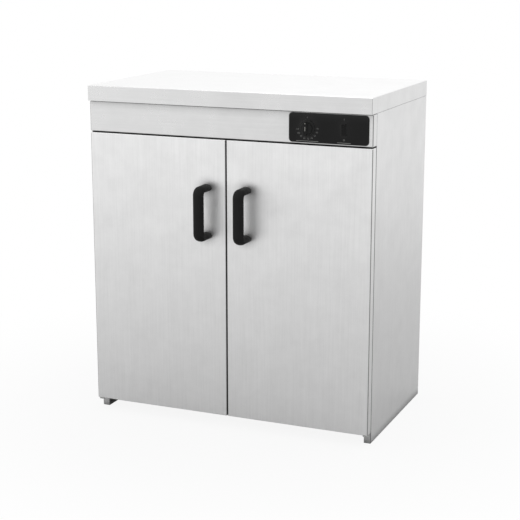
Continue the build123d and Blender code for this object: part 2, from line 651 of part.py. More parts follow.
def magnet_catches():
    """Two magnetic catches under the ceiling: a moulded case and its two steel pole strips."""
    wide, deep, tall = CATCH_SIZE
    face = Y_DOOR_BACK + STRIKE_SIZE[1] + RUNNING_GAP
    middle_z = CEILING_Z - tall / 2
    pole_wide, pole_deep, pole_tall = CATCH_POLE
    with BuildPart() as catches:
        for side in (-1, 1):
            with BuildSketch(Plane.XZ.offset(-face - pole_deep / 2)):
                with Locations((side * CATCH_X, middle_z)):
                    RectangleRounded(wide, tall, BEND)
            extrude(amount=-deep)
            with BuildSketch(Plane.XZ.offset(-face)):
                with Locations(
                    (side * CATCH_X, middle_z - tall / 5), (side * CATCH_X, middle_z + tall / 5)
                ):
                    Rectangle(pole_wide, pole_tall)
            extrude(amount=-pole_deep)
    return catches.part


# ================================================================ controls
def control_plate():
    """Black plate on the fascia, behind the knob and the switch."""
    with BuildPart() as plate:
        with BuildSketch(Plane.XZ.offset(-Y_DOOR)):
            with Locations((PLATE_X, PLATE_Z)):
                RectangleRounded(*PLATE_SIZE, PLATE_CORNER)
            with Locations((KNOB_X, KNOB_Z)):
                Circle(THERMOSTAT_NECK_RADIUS + SCREW_HOLE_CLEARANCE, mode=Mode.SUBTRACT)
            with Locations((SWITCH_X, SWITCH_Z)):
                Rectangle(*SWITCH_CUTOUT, mode=Mode.SUBTRACT)
        extrude(amount=PLATE_THICKNESS)
        front = plate.faces().sort_by(Axis.Y)[0]
        chamfer(front.outer_wire().edges(), PLATE_THICKNESS / 3)
    return plate.part


def thermostat_body():
    """Capillary thermostat behind the fascia: case, threaded neck and terminal blades."""
    wide, deep, tall = THERMOSTAT_SIZE
    front = Y_DOOR + FASCIA_SHEET
    blade_thick, blade_long, blade_wide = BLADE_SIZE
    with BuildPart() as thermostat:
        with BuildSketch(Plane.XZ.offset(-front)):
            with Locations((KNOB_X, KNOB_Z)):
                Rectangle(wide, tall)
        extrude(amount=-deep)
        fillet(thermostat.edges().filter_by(Axis.Y), BEND)
        with BuildSketch(Plane.XZ.offset(-front)):
            with Locations((KNOB_X, KNOB_Z)):
                Circle(THERMOSTAT_NECK_RADIUS)
        extrude(amount=FASCIA_SHEET + PLATE_THICKNESS)
        with BuildSketch(Plane.XZ.offset(-Y_PLATE)):
            with Locations((KNOB_X, KNOB_Z)):
                Circle(SPINDLE_RADIUS + PIN_CLEARANCE)
        extrude(amount=-(PLATE_THICKNESS + FASCIA_SHEET + SPINDLE_IN_BODY), mode=Mode.SUBTRACT)
        with BuildSketch(Plane.XZ.offset(-front - deep)):
            with Locations((KNOB_X, KNOB_Z)):
                with GridLocations(wide / 3, tall / 2, 3, 2):
                    Rectangle(blade_thick, blade_wide)
        extrude(amount=-blade_long)
    return thermostat.part


def thermostat_spindle():
    """The shaft that the knob turns, with a flat for the knob's grip."""
    back = Y_DOOR + FASCIA_SHEET + SPINDLE_IN_BODY - RUNNING_GAP
    tip = Y_PLATE - KNOB_STAND_OFF - SPINDLE_IN_KNOB
    with BuildPart() as spindle:
        with BuildSketch(Plane.XZ.offset(-back)):
            with Locations((KNOB_X, KNOB_Z)):
                Circle(SPINDLE_RADIUS)
        extrude(amount=back - tip)
        with BuildSketch(Plane.XZ.offset(-tip)):
            with Locations((KNOB_X, KNOB_Z + SPINDLE_RADIUS)):
                Rectangle(2 * SPINDLE_RADIUS, SPINDLE_RADIUS)
        extrude(amount=-(SPINDLE_IN_KNOB - KNOB_SKIRT), mode=Mode.SUBTRACT)
    return spindle.part


def thermostat_knob():
    """Moulded knob: a skirt, a tapered body and a bar to turn it by."""
    back = Y_PLATE - KNOB_STAND_OFF
    shoulder = back - KNOB_SKIRT
    body_front = back - KNOB_BODY_HEIGHT
    front = Y_PLATE - KNOB_REACH
    axis = Axis((KNOB_X, 0, KNOB_Z), (0, 1, 0))
    with BuildPart() as knob:
        with BuildSketch(Plane.XY.offset(KNOB_Z)):
            with BuildLine():
                Polyline(
                    (KNOB_X, back),
                    (KNOB_X + KNOB_RADIUS, back),
                    (KNOB_X + KNOB_RADIUS - SHEET / 2, shoulder),
                    (KNOB_X + KNOB_BODY_RADIUS, shoulder),
                    (KNOB_X + KNOB_BODY_RADIUS - SHEET, body_front),
                    (KNOB_X, body_front),
                    close=True,
                )
            make_face()
        revolve(axis=axis)
        rims = knob.edges().filter_by(GeomType.CIRCLE).group_by(Axis.Y)
        fillet(rims[0], BEND / 2)
        with BuildSketch(Plane.XZ.offset(-shoulder)):
            with Locations((KNOB_X, KNOB_Z)):
                RectangleRounded(*KNOB_BAR, KNOB_BAR[0] / 2 - SHEET / 2)
        extrude(amount=shoulder - front)
        fillet(knob.faces().sort_by(Axis.Y)[0].edges(), BEND / 2)
        with BuildSketch(Plane.XZ.offset(-back)):
            with Locations((KNOB_X, KNOB_Z)):
                Circle(SPINDLE_RADIUS + PIN_CLEARANCE)
        extrude(amount=SPINDLE_IN_KNOB + RUNNING_GAP, mode=Mode.SUBTRACT)
        with BuildSketch(Plane.XZ.offset(-front)):
            add(index_marks())
        extrude(amount=-INDEX_DEPTH, mode=Mode.SUBTRACT)
    return knob.part


def index_marks():
    """Outline of the knob's marks: a line in the middle of the bar and a dot at its pointing end."""
    with BuildSketch(mode=Mode.PRIVATE) as marks:
        with Locations((KNOB_X, KNOB_Z)):
            Rectangle(*INDEX_LINE)
        with Locations(INDEX_DOT_AT):
            Circle(INDEX_DOT)
    return marks.sketch


def knob_pointer():
    """White marks, let into the knob's bar."""
    front = Y_PLATE - KNOB_REACH
    with BuildPart() as pointer:
        with BuildSketch(Plane.XZ.offset(-front - INDEX_DEPTH)):
            add(index_marks())
        extrude(amount=INDEX_DEPTH)
    return pointer.part


def capillary():
    """Thermostat's sensor: a bulb under the ceiling and the thin tube that joins it to the case."""
    start = Y_DOOR + FASCIA_SHEET + THERMOSTAT_SIZE[1]
    drop = Y_FRAME + CAPILLARY_RUN
    bulb_z = CEILING_Z - BULB_DROP
    bulb_start = drop + 2 * CAPILLARY_BEND
    with BuildPart() as sensor:
        with BuildLine(Plane.YZ.offset(KNOB_X)):
            FilletPolyline(
                (start, KNOB_Z), (drop, KNOB_Z), (drop, bulb_z), (bulb_start, bulb_z), radius=CAPILLARY_BEND
            )
        with BuildSketch(Plane(origin=(KNOB_X, start, KNOB_Z), x_dir=(1, 0, 0), z_dir=(0, 1, 0))):
            Circle(CAPILLARY_RADIUS)
        sweep()
        with BuildSketch(Plane(origin=(KNOB_X, bulb_start, bulb_z), x_dir=(1, 0, 0), z_dir=(0, 1, 0))):
            Circle(BULB_RADIUS)
        extrude(amount=BULB_LENGTH)
        fillet(sensor.faces().sort_by(Axis.Y)[-1].edges(), BULB_RADIUS / 3)
    return sensor.part


def bulb_clips():
    """Two saddles that hang the bulb from the ceiling."""
    bulb_z = CEILING_Z - BULB_DROP
    bulb_start = Y_FRAME + CAPILLARY_RUN + 2 * CAPILLARY_BEND
    outer = BULB_RADIUS + BULB_CLIP_PLATE
    with BuildPart() as clips:
        for share in (0.2, 0.8):
            with BuildSketch(Plane.XZ.offset(-bulb_start - share * BULB_LENGTH)):
                with Locations((KNOB_X, bulb_z)):
                    Circle(outer)
                    Rectangle(2 * outer, BULB_DROP, align=(Align.CENTER, Align.MIN))
                    Circle(BULB_RADIUS + PIN_CLEARANCE, mode=Mode.SUBTRACT)
            extrude(amount=BULB_CLIP_WIDTH / 2, both=True)
    return clips.part


def switch_body():
    """Rocker switch's housing: bezel on the plate, body through the cut-out, blades behind."""
    wide, tall = BEZEL_SIZE
    pocket = (ROCKER_SIZE[0] + 2 * ROCKER_CLEARANCE, ROCKER_SIZE[1] + 2 * ROCKER_CLEARANCE)
    bezel_front = Y_PLATE - BEZEL_HEIGHT
    body_back = Y_PLATE + SWITCH_BODY_DEPTH
    blade_thick, blade_long, blade_wide = BLADE_SIZE
    with BuildPart() as switch:
        with BuildSketch(Plane.XZ.offset(-Y_PLATE)):
            with Locations((SWITCH_X, SWITCH_Z)):
                RectangleRounded(wide, tall, BEND)
        extrude(amount=BEZEL_HEIGHT)
        fillet(switch.faces().sort_by(Axis.Y)[0].edges(), BEZEL_HEIGHT / 3)
        with BuildSketch(Plane.XZ.offset(-Y_PLATE)):
            with Locations((SWITCH_X, SWITCH_Z)):
                Rectangle(wide - 2 * SWITCH_BODY_INSET, tall - 2 * SWITCH_BODY_INSET)
        extrude(amount=-SWITCH_BODY_DEPTH)
        with BuildSketch(Plane.XZ.offset(-bezel_front)):
            with Locations((SWITCH_X, SWITCH_Z)):
                Rectangle(*pocket)
        extrude(amount=-(BEZEL_HEIGHT + SWITCH_POCKET), mode=Mode.SUBTRACT)
        with BuildSketch(Plane.YZ.offset(SWITCH_X)):
            with Locations((Y_PLATE, SWITCH_Z)):
                Circle(TRUNNION_RADIUS + PIN_CLEARANCE)
        extrude(amount=pocket[0] / 2 + TRUNNION_LENGTH, both=True, mode=Mode.SUBTRACT)
        with BuildSketch(Plane.XZ.offset(-body_back)):
            with Locations((SWITCH_X, SWITCH_Z)):
                with GridLocations(wide / 2, tall / 2, 2, 2):
                    Rectangle(blade_thick, blade_wide)
        extrude(amount=-blade_long)
    return switch.part


def switch_rocker():
    """Rocker with a dished face, at rest with its lower half pressed in."""
    wide, tall = ROCKER_SIZE
    tilt = radians(ROCKER_TILT)

    def tipped(out, up):
        """A point of the level rocker, measured from its pivot, after the rocker is tipped."""
        return (
            Y_PLATE - (out * cos(tilt) + up * sin(tilt)),
            SWITCH_Z + up * cos(tilt) - out * sin(tilt),
        )

    half = tall / 2
    with BuildPart() as rocker:
        with BuildSketch(Plane.YZ.offset(SWITCH_X - wide / 2)):
            with BuildLine():
                Polyline(
                    tipped(ROCKER_EDGE, half),
                    tipped(-TRUNNION_RADIUS, half),
                    tipped(-ROCKER_WAIST, 0),
                    tipped(-TRUNNION_RADIUS, -half),
                    tipped(ROCKER_EDGE, -half),
                )
                ThreePointArc(
                    tipped(ROCKER_EDGE, -half), tipped(ROCKER_WAIST, 0), tipped(ROCKER_EDGE, half)
                )
            make_face()
        extrude(amount=wide)
        fillet(rocker.edges().filter_by(Axis.X), SHEET / 2)
        with BuildSketch(Plane.YZ.offset(SWITCH_X)):
            with Locations((Y_PLATE, SWITCH_Z)):
                Circle(TRUNNION_RADIUS)
        extrude(amount=wide / 2 + TRUNNION_LENGTH, both=True)
    return rocker.part


def terminal_block():
    """Mains terminal block on the inside of the back panel, with a screw well for each way."""
    wide, deep, tall = TERMINAL_SIZE
    with BuildPart() as block:
        with BuildSketch(Plane.XZ.offset(-Y_REAR)):
            with Locations((TERMINAL_X, GLAND_Z)):
                Rectangle(wide, tall)
        extrude(amount=deep)
        chamfer(block.faces().sort_by(Axis.Y)[0].edges(), BEND)
        with BuildSketch(Plane.XZ.offset(deep - Y_REAR)):
            with Locations((TERMINAL_X, GLAND_Z)):
                with GridLocations(wide / TERMINAL_WAYS, 1, TERMINAL_WAYS, 1):
                    Circle(SCREW_HEAD_RADIUS)
        extrude(amount=-deep / 2, mode=Mode.SUBTRACT)
    return block.part


def cable_gland():
    """Nylon gland for the mains lead: hexagon and domed cap outside, thread and locknut inside."""
    here = (GLAND_X, GLAND_Z)
    with BuildPart() as gland:
        with BuildSketch(Plane.XZ.offset(-Y_BACK)):
            with Locations(here):
                RegularPolygon(GLAND_HEX / 2, 6, major_radius=False)
        extrude(amount=-GLAND_HEX_HEIGHT)
        with BuildSketch(Plane.XZ.offset(-Y_BACK)):
            with Locations(here):
                Circle(GLAND_CAP_RADIUS)
        extrude(amount=-GLAND_REACH)
        fillet(gland.faces().sort_by(Axis.Y)[-1].edges(), GLAND_BORE / 2)
        with BuildSketch(Plane.XZ.offset(-Y_BACK)):
            with Locations(here):
                Circle(GLAND_THREAD)
        extrude(amount=SHEET + GLAND_NUT)
        with BuildSketch(Plane.XZ.offset(-Y_BACK - GLAND_REACH)):
            with Locations(here):
                Circle(GLAND_BORE)
        extrude(amount=GLAND_REACH + SHEET + GLAND_NUT, mode=Mode.SUBTRACT)
    return gland.part


def gland_locknut():
    """Locknut of the cable gland, inside the back panel."""
    here = (GLAND_X, GLAND_Z)
    with BuildPart() as nut:
        with BuildSketch(Plane.XZ.offset(-Y_REAR)):
            with Locations(here):
                RegularPolygon(GLAND_HEX / 2, 6, major_radius=False)
                Circle(GLAND_THREAD + PIN_CLEARANCE, mode=Mode.SUBTRACT)
        extrude(amount=GLAND_NUT)
    return nut.part


# ================================================================ fasteners on the casing
def back_panel_screws():
    """Ten screws that hold the back panel to the rear flanges."""
    single = screw(
        Plane(origin=(0, Y_BACK, 0), x_dir=(1, 0, 0), z_dir=(0, 1, 0)),
        SCREW_HEAD_RADIUS, SCREW_HEAD_HEIGHT, SCREW_RADIUS, SCREW_LENGTH,
    )
    with BuildPart() as screws:
        with Locations(*[(s * PANEL_SCREW_X, 0, z) for s in (-1, 1) for z in PANEL_SCREW_ZS]):
            add(single)
    return screws.part


def worktop_screws():
    """Four screws, from inside the side panels, up into the worktop's hem."""
    under = Z_WALL - SHEET
    single = screw(
        Plane(origin=(0, 0, under), x_dir=(1, 0, 0), z_dir=(0, 0, -1)),
        SCREW_HEAD_RADIUS, SCREW_HEAD_HEIGHT, SCREW_RADIUS, SCREW_LENGTH,
    )
    with BuildPart() as screws:
        with Locations(*[(s * TOP_SCREW_X, y, 0) for s in (-1, 1) for y in TOP_SCREW_YS]):
            add(single)
    return screws.part


# ================================================================ pivot hinges
def bottom_hinge_bracket(side):
    """Angle behind the front flange. Its tongue comes out under the door and carries the pin."""
    inner = Y_FRAME + 2 * SHEET
    tip = PIVOT_Y - HINGE_TONGUE_WIDTH / 2
    long = inner + HINGE_PLATE - tip
    with BuildPart() as bracket:
        with BuildSketch(Plane.XY.offset(Z_TONGUE)):
            with Locations((side * PIVOT_X, tip)):
                Rectangle(HINGE_TONGUE_WIDTH, long, align=(Align.CENTER, Align.MIN))
        extrude(amount=-HINGE_PLATE)
        fillet(bracket.edges().filter_by(Axis.Z).sort_by(Axis.Y)[:2], HINGE_PLATE)
        with BuildSketch(Plane.XZ.offset(-inner)):
            with Locations((side * PIVOT_X, Z_TONGUE)):
                Rectangle(HINGE_TONGUE_WIDTH, HINGE_LEG, align=(Align.CENTER, Align.MAX))
        extrude(amount=-HINGE_PLATE)
        with BuildSketch(Plane.XY.offset(Z_TONGUE)):
            with Locations((side * PIVOT_X, PIVOT_Y)):
                Circle(PIN_RADIUS)
        extrude(amount=-HINGE_PLATE, mode=Mode.SUBTRACT)
    return bracket.part


def bottom_pin(side):
    """Lower hinge pin, riveted through the bracket's tongue."""
    head_radius, head_height = RIVET_HEAD
    under = Z_TONGUE - HINGE_PLATE
    with BuildPart() as pin:
        with BuildSketch(Plane.XY.offset(under)):
            with Locations((side * PIVOT_X, PIVOT_Y)):
                Circle(PIN_RADIUS)
        extrude(amount=HINGE_PLATE + BUSH_LENGTH)
        chamfer(pin.faces().sort_by(Axis.Z)[-1].edges(), PIN_RADIUS / 4)
        with BuildSketch(Plane.XY.offset(under)):
            with Locations((side * PIVOT_X, PIVOT_Y)):
                Circle(head_radius)
        extrude(amount=-head_height)
    return pin.part


def top_pivot(side):
    """Upper pivot bolt: head inside the fascia, shank down into the door."""
    seat = Z_FASCIA + FASCIA_SHEET
    with BuildPart() as bolt:
        with BuildSketch(Plane.XY.offset(seat)):
            with Locations((side * PIVOT_X, PIVOT_Y)):
                RegularPolygon(PIVOT_HEAD_RADIUS, 6)
        extrude(amount=PIVOT_HEAD_HEIGHT)
        with BuildSketch(Plane.XY.offset(seat)):
            with Locations((side * PIVOT_X, PIVOT_Y)):
                Circle(PIN_RADIUS)
        extrude(amount=-(seat - DOOR_TOP + BUSH_LENGTH - BEND))
        chamfer(bolt.faces().sort_by(Axis.Z)[0].edges(), PIN_RADIUS / 4)
    return bolt.part


def pivot_washers():
    """Nylon washers on the upper pivots, between the fascia and the doors."""
    collar_top = DOOR_TOP + SHEET
    with BuildPart() as washers:
        with BuildSketch(Plane.XY.offset(collar_top + RUNNING_GAP)):
            with Locations((-PIVOT_X, PIVOT_Y), (PIVOT_X, PIVOT_Y)):
                Circle(BUSH_COLLAR_RADIUS)
                Circle(PIN_RADIUS + PIN_CLEARANCE, mode=Mode.SUBTRACT)
        extrude(amount=Z_FASCIA - collar_top - RUNNING_GAP)
    return washers.part


# ================================================================ doors
def door_skin(side):
    """Outer pan of a door, with holes for the handle's screws and the hinge bushes."""
    face = Plane(origin=(side * DOOR_MID_X, Y_DOOR, DOOR_MID_Z), x_dir=(1, 0, 0), z_dir=(0, 1, 0))
    blank = pan(face, DOOR_WIDTH, DOOR_HEIGHT, DOOR_THICKNESS)
    with BuildPart() as skin:
        add(blank)
        with BuildSketch(Plane.XZ.offset(-Y_DOOR)):
            with Locations(*[(side * HANDLE_X, z) for z in HANDLE_HEIGHTS]):
                Circle(HANDLE_SCREW_RADIUS + SCREW_HOLE_CLEARANCE)
        extrude(amount=-SHEET, mode=Mode.SUBTRACT)
        with BuildSketch(Plane.XY.offset(DOOR_BOTTOM)):
            with Locations((side * PIVOT_X, PIVOT_Y)):
                Circle(BUSH_RADIUS)
        extrude(amount=DOOR_HEIGHT, mode=Mode.SUBTRACT)
    return skin.part


def door_liner(side):
    """Inner pan of a door, pressed in flush with the back of the outer pan."""
    face = Plane(
        origin=(side * DOOR_MID_X, Y_DOOR_BACK, DOOR_MID_Z), x_dir=(1, 0, 0), z_dir=(0, -1, 0)
    )
    blank = pan(face, DOOR_WIDTH - 2 * SHEET, DOOR_HEIGHT - 2 * SHEET, DOOR_LINER_FLANGE)
    with BuildPart() as liner:
        add(blank)
        with BuildSketch(Plane.XZ.offset(-Y_DOOR_BACK)):
            with Locations(*[(side * HANDLE_X, z) for z in HANDLE_HEIGHTS]):
                Circle(HANDLE_SCREW_RADIUS + SCREW_HOLE_CLEARANCE)
        extrude(amount=SHEET, mode=Mode.SUBTRACT)
    return liner.part


def door_board(side):
    """Mineral wool board between a door's two pans."""
    with BuildPart() as board:
        with BuildSketch(Plane.XZ.offset(-Y_DOOR - SHEET)):
            with Locations((side * DOOR_MID_X, DOOR_MID_Z)):
                Rectangle(DOOR_WIDTH - 2 * DOOR_BOARD_MARGIN, DOOR_HEIGHT - 2 * DOOR_BOARD_MARGIN)
            with Locations(*[(side * HANDLE_X, z) for z in HANDLE_HEIGHTS]):
                Circle(HANDLE_SCREW_RADIUS + SCREW_HOLE_CLEARANCE, mode=Mode.SUBTRACT)
        extrude(amount=-(DOOR_THICKNESS - 2 * SHEET))
    return board.part


def door_bushes(side):
    """Flanged nylon bushes in the top and the bottom of a door."""
    with BuildPart() as bushes:
        for edge, inward in ((DOOR_BOTTOM, 1), (DOOR_TOP, -1)):
            with BuildSketch(Plane.XY.offset(edge)):
                with Locations((side * PIVOT_X, PIVOT_Y)):
                    Circle(BUSH_RADIUS)
                    Circle(BUSH_BORE, mode=Mode.SUBTRACT)
            extrude(amount=inward * BUSH_LENGTH)
            with BuildSketch(Plane.XY.offset(edge)):
                with Locations((side * PIVOT_X, PIVOT_Y)):
                    Circle(BUSH_COLLAR_RADIUS)
                    Circle(BUSH_BORE, mode=Mode.SUBTRACT)
            extrude(amount=-inward * SHEET)
    return bushes.part


def door_handle(side):
    """Moulded bow handle with a blind screw hole in each leg."""
    x = side * HANDLE_X
    low, high = HANDLE_HEIGHTS
    grip_y = Y_DOOR - HANDLE_REACH + GRIP_DEPTH / 2
    with BuildPart() as handle:
        with BuildLine(Plane.YZ.offset(x)):
            FilletPolyline((Y_DOOR, low), (grip_y, low), (grip_y, high), (Y_DOOR, high), radius=HANDLE_BEND)
        with BuildSketch(Plane(origin=(x, Y_DOOR, low), x_dir=(1, 0, 0), z_dir=(0, -1, 0))):
            RectangleRounded(GRIP_WIDTH, GRIP_DEPTH, GRIP_ROUND)
        sweep()
        with BuildSketch(Plane.XZ.offset(-Y_DOOR)):
            with Locations((x, low), (x, high)):
                Circle(HANDLE_SCREW_RADIUS + PIN_CLEARANCE)
        extrude(amount=HANDLE_THREAD_DEPTH, mode=Mode.SUBTRACT)
    return handle.part


def handle_screws(side):
    """Two long screws, from the inside of the door through both pans into the handle."""
    single = screw(
        Plane(origin=(side * HANDLE_X, Y_DOOR_BACK, 0), x_dir=(1, 0, 0), z_dir=(0, 1, 0)),
        HANDLE_SCREW_HEAD_RADIUS, HANDLE_SCREW_HEAD_HEIGHT, HANDLE_SCREW_RADIUS,
        DOOR_THICKNESS + HANDLE_THREAD_DEPTH - SHEET,
    )
    with BuildPart() as screws:
        with Locations(*[(0, 0, z) for z in HANDLE_HEIGHTS]):
            add(single)
    return screws.part


def strike_plate(side):
    """Steel plate on the back of a door that the magnetic catch holds."""
    wide, thick, tall = STRIKE_SIZE
    with BuildPart() as plate:
        with BuildSketch(Plane.XZ.offset(-Y_DOOR_BACK)):
            with Locations((side * CATCH_X, CEILING_Z - CATCH_SIZE[2] / 2)):
                RectangleRounded(wide, tall, BEND)
        extrude(amount=-thick)
    return plate.part


# ================================================================ the whole cabinet
os.makedirs("parts", exist_ok=True)

SINGLE = [
    back_panel, back_liner, back_board, chamber_ceiling, ceiling_board, base_pan, worktop,
    worktop_stiffeners, front_fascia, perforated_deck, heating_element, element_brackets,
    shelf_clips, wire_shelf, magnet_catches, control_plate, thermostat_body, thermostat_spindle,
    thermostat_knob, knob_pointer, capillary, bulb_clips, switch_body, switch_rocker,
    terminal_block, cable_gland, gland_locknut, back_panel_screws, worktop_screws, pivot_washers,
]
HANDED = [
    side_panel, side_liner, wall_board, shelf_racks, bottom_hinge_bracket, bottom_pin, top_pivot,
    door_skin, door_liner, door_board, door_bushes, door_handle, handle_screws, strike_plate,
]

for build in SINGLE:
    write(build(), build.__name__)

for build in HANDED:
    for side in (-1, 1):
        write(build(side), f"{facing(side)}_{build.__name__}")
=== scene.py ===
# %% [markdown]
# # A plate warmer cabinet in satin stainless steel
#
# A plate warmer is a double-skinned steel cupboard with a heater in its floor. Its construction
# comes in as a fixed frame: sheet-metal pans, hinges, racks, element and controls, at real size.
# This lesson gives each of them its finish, models again the pieces whose form needs softer edges
# than a tessellated solid has, and lights the whole like a catalogue picture.
#
# Everything is in metres, +Z is up and the doors face -Y.

# %% Load the frame
import json
import math

import bmesh
import bpy
from mathutils import Matrix, Vector


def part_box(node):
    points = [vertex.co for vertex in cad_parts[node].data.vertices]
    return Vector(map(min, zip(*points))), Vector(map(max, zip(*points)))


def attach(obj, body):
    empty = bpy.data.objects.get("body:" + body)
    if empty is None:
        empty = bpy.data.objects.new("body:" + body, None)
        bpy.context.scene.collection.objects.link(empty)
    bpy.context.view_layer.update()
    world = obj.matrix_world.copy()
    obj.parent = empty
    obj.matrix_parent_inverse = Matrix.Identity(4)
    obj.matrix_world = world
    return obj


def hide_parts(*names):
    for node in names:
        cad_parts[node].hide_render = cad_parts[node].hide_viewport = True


MM = 0.001

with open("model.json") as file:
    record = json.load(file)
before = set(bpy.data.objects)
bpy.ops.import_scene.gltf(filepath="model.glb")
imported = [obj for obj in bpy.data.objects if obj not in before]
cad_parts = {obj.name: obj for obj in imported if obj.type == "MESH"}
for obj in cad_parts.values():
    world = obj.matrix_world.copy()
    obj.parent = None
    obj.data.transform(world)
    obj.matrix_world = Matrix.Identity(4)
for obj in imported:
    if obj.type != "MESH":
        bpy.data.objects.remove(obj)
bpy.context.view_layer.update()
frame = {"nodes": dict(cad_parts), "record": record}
SLOT_OF = {part["node"]: part["material_slot"] for part in frame["record"]["subparts"]}
BODY_OF = {
    node: body for body, nodes in frame["record"]["behaviour"]["bodies"].items() for node in nodes
}

# %% [markdown]
# ## Helpers for finishes
#
# Colours are easiest to choose as the hex codes that a paint chart or a web page gives, but a
# renderer adds light in linear values, so one function turns the first into the second. Another
# adds a shader node with its settings and links in one go. Each finish is then short enough to
# read as a recipe: the piece's own coordinates go in, patterns pick a colour and a gloss from
# them, and one surface shader takes both.

# %% Colours and nodes
def linear(code):
    """Linear red, green, blue and alpha of a hex code, by the curve of the sRGB standard."""
    shares = [int(code[i:i + 2], 16) / 255 for i in (1, 3, 5)]
    return [s / 12.92 if s <= 0.04045 else ((s + 0.055) / 1.055) ** 2.4 for s in shares] + [1.0]


def add(tree, kind, values=None, links=None, **settings):
    """Adds a node to a tree, sets its properties and inputs, and links sockets to its inputs."""
    made = tree.nodes.new(kind)
    for name, setting in settings.items():
        setattr(made, name, setting)
    for socket, value in (values or {}).items():
        made.inputs[socket].default_value = value
    for socket, source in (links or {}).items():
        tree.links.new(source, made.inputs[socket])
    return made


def new_finish(name):
    """An empty finish: its material, its tree and the coordinates of the piece that wears it."""
    finish = bpy.data.materials.new(name)
    finish.use_nodes = True
    tree = finish.node_tree
    tree.nodes.clear()
    print("finish:", name)
    return finish, tree, add(tree, "ShaderNodeTexCoord").outputs["Object"]


def end_finish(tree, values, links):
    """Ends a finish with its surface, from plain values and from linked patterns."""
    surface = add(tree, "ShaderNodeBsdfPrincipled", values, links)
    add(tree, "ShaderNodeOutputMaterial", links={"Surface": surface.outputs["BSDF"]})


print("#808080 in linear light:", round(linear("#808080")[0], 3))

# %% [markdown]
# ## Patterns of a real size
#
# A noise texture has features about one unit across. Coordinates divided by a size in metres give
# features of that size, and sizes that differ along the axes draw them out into strokes. The
# values crowd round a half, so their middle range is stretched before it picks a colour.
#
# Shade is painted into the colour where another surface stands over it within a few millimetres: in
# seams and gaps, round feet, and under an overhang such as the worktop's skirt. It is painted on
# steel and on mouldings alike, and ambient occlusion finds those places on the finished shape.

# %% Noise, tone and painted seam shade
NOISE_RANGE = {"From Min": 0.3, "From Max": 0.7}
FACTOR, COLOUR_A, COLOUR_B, MIXED_COLOUR = 0, 6, 7, 2  # sockets of a Mix node set to colours
VALUE_A, VALUE_B, MIXED_VALUE = 2, 3, 0  # and of one set to plain values
# The painted shade in seams: its reach, how steeply it falls off, its samples and its darkest
# colour.
SEAM_SHADE_REACH = 24 * MM
SEAM_SHADE_STEEPNESS = 1.1
SEAM_SHADE_SAMPLES = 8
SEAM_SHADE_COLOUR = "#4A4A4A"


def noise(tree, place, sizes, detail, rough):
    """Noise whose largest features have these sizes along X, Y and Z."""
    fitted = add(tree, "ShaderNodeMapping", {"Scale": [1 / s for s in sizes]}, {"Vector": place})
    made = add(
        tree, "ShaderNodeTexNoise", {"Scale": 1.0, "Detail": detail, "Roughness": rough},
        {"Vector": fitted.outputs["Vector"]},
    )
    return made.outputs["Fac"]


def toned(tree, pattern, bright, dull):
    """The colour that a pattern picks between two hex codes."""
    share = add(
        tree, "ShaderNodeMapRange", {**NOISE_RANGE, "To Min": 0.0, "To Max": 1.0},
        {"Value": pattern},
    )
    made = add(
        tree, "ShaderNodeMix", {COLOUR_A: linear(bright), COLOUR_B: linear(dull)},
        {FACTOR: share.outputs["Result"]}, data_type="RGBA",
    )
    return made.outputs[MIXED_COLOUR]


def seamed(tree, colour):
    """A colour with painted shade: it darkens where another surface stands within reach."""
    occlusion = add(
        tree, "ShaderNodeAmbientOcclusion", {"Distance": SEAM_SHADE_REACH}, samples=SEAM_SHADE_SAMPLES
    )
    unshaded = add(
        tree, "ShaderNodeMath", {1: SEAM_SHADE_STEEPNESS}, {0: occlusion.outputs["AO"]}, operation="POWER"
    )
    made = add(
        tree, "ShaderNodeMix", {COLOUR_A: linear(SEAM_SHADE_COLOUR)},
        {FACTOR: unshaded.outputs[0], COLOUR_B: colour}, data_type="RGBA",
    )
    return made.outputs[MIXED_COLOUR]


print("seams reach", round(SEAM_SHADE_REACH / MM), "mm")

# %% [markdown]
# ## Satin stainless steel
#
# The casing is 18/8 stainless steel sheet, 1 to 1.2 mm thick, polished on a grit 240 abrasive belt.
# The belt leaves scratches a tenth of a millimetre wide and a few centimetres long, all one way,
# so the steel mirrors its surroundings in a blur that is wider across the scratches than along
# them. That is what anisotropy says. A tangent that lies level puts the blur sideways, which suits
# the upright grain of the doors and the sides.
#
# Real scratches are too fine to show from three metres. The strokes here start at 5 mm by 200 mm,
# some fifty times too coarse, and the noise splits them five times over, down to about the real
# width. The belt's pressure also leaves faint clouds, a few centimetres across, where the steel is
# a little brighter or duller. Strokes and clouds share the tone about equally.

# %% Belt-polished steel
GRAIN_WIDTH = 5 * MM
GRAIN_LENGTH = 200 * MM
GRAIN_DEPTH = 0.004 * MM
GRAIN_STRENGTH = 0.4
CLOUD_SIZE = 60 * MM
CLOUD_SHARE = 0.48


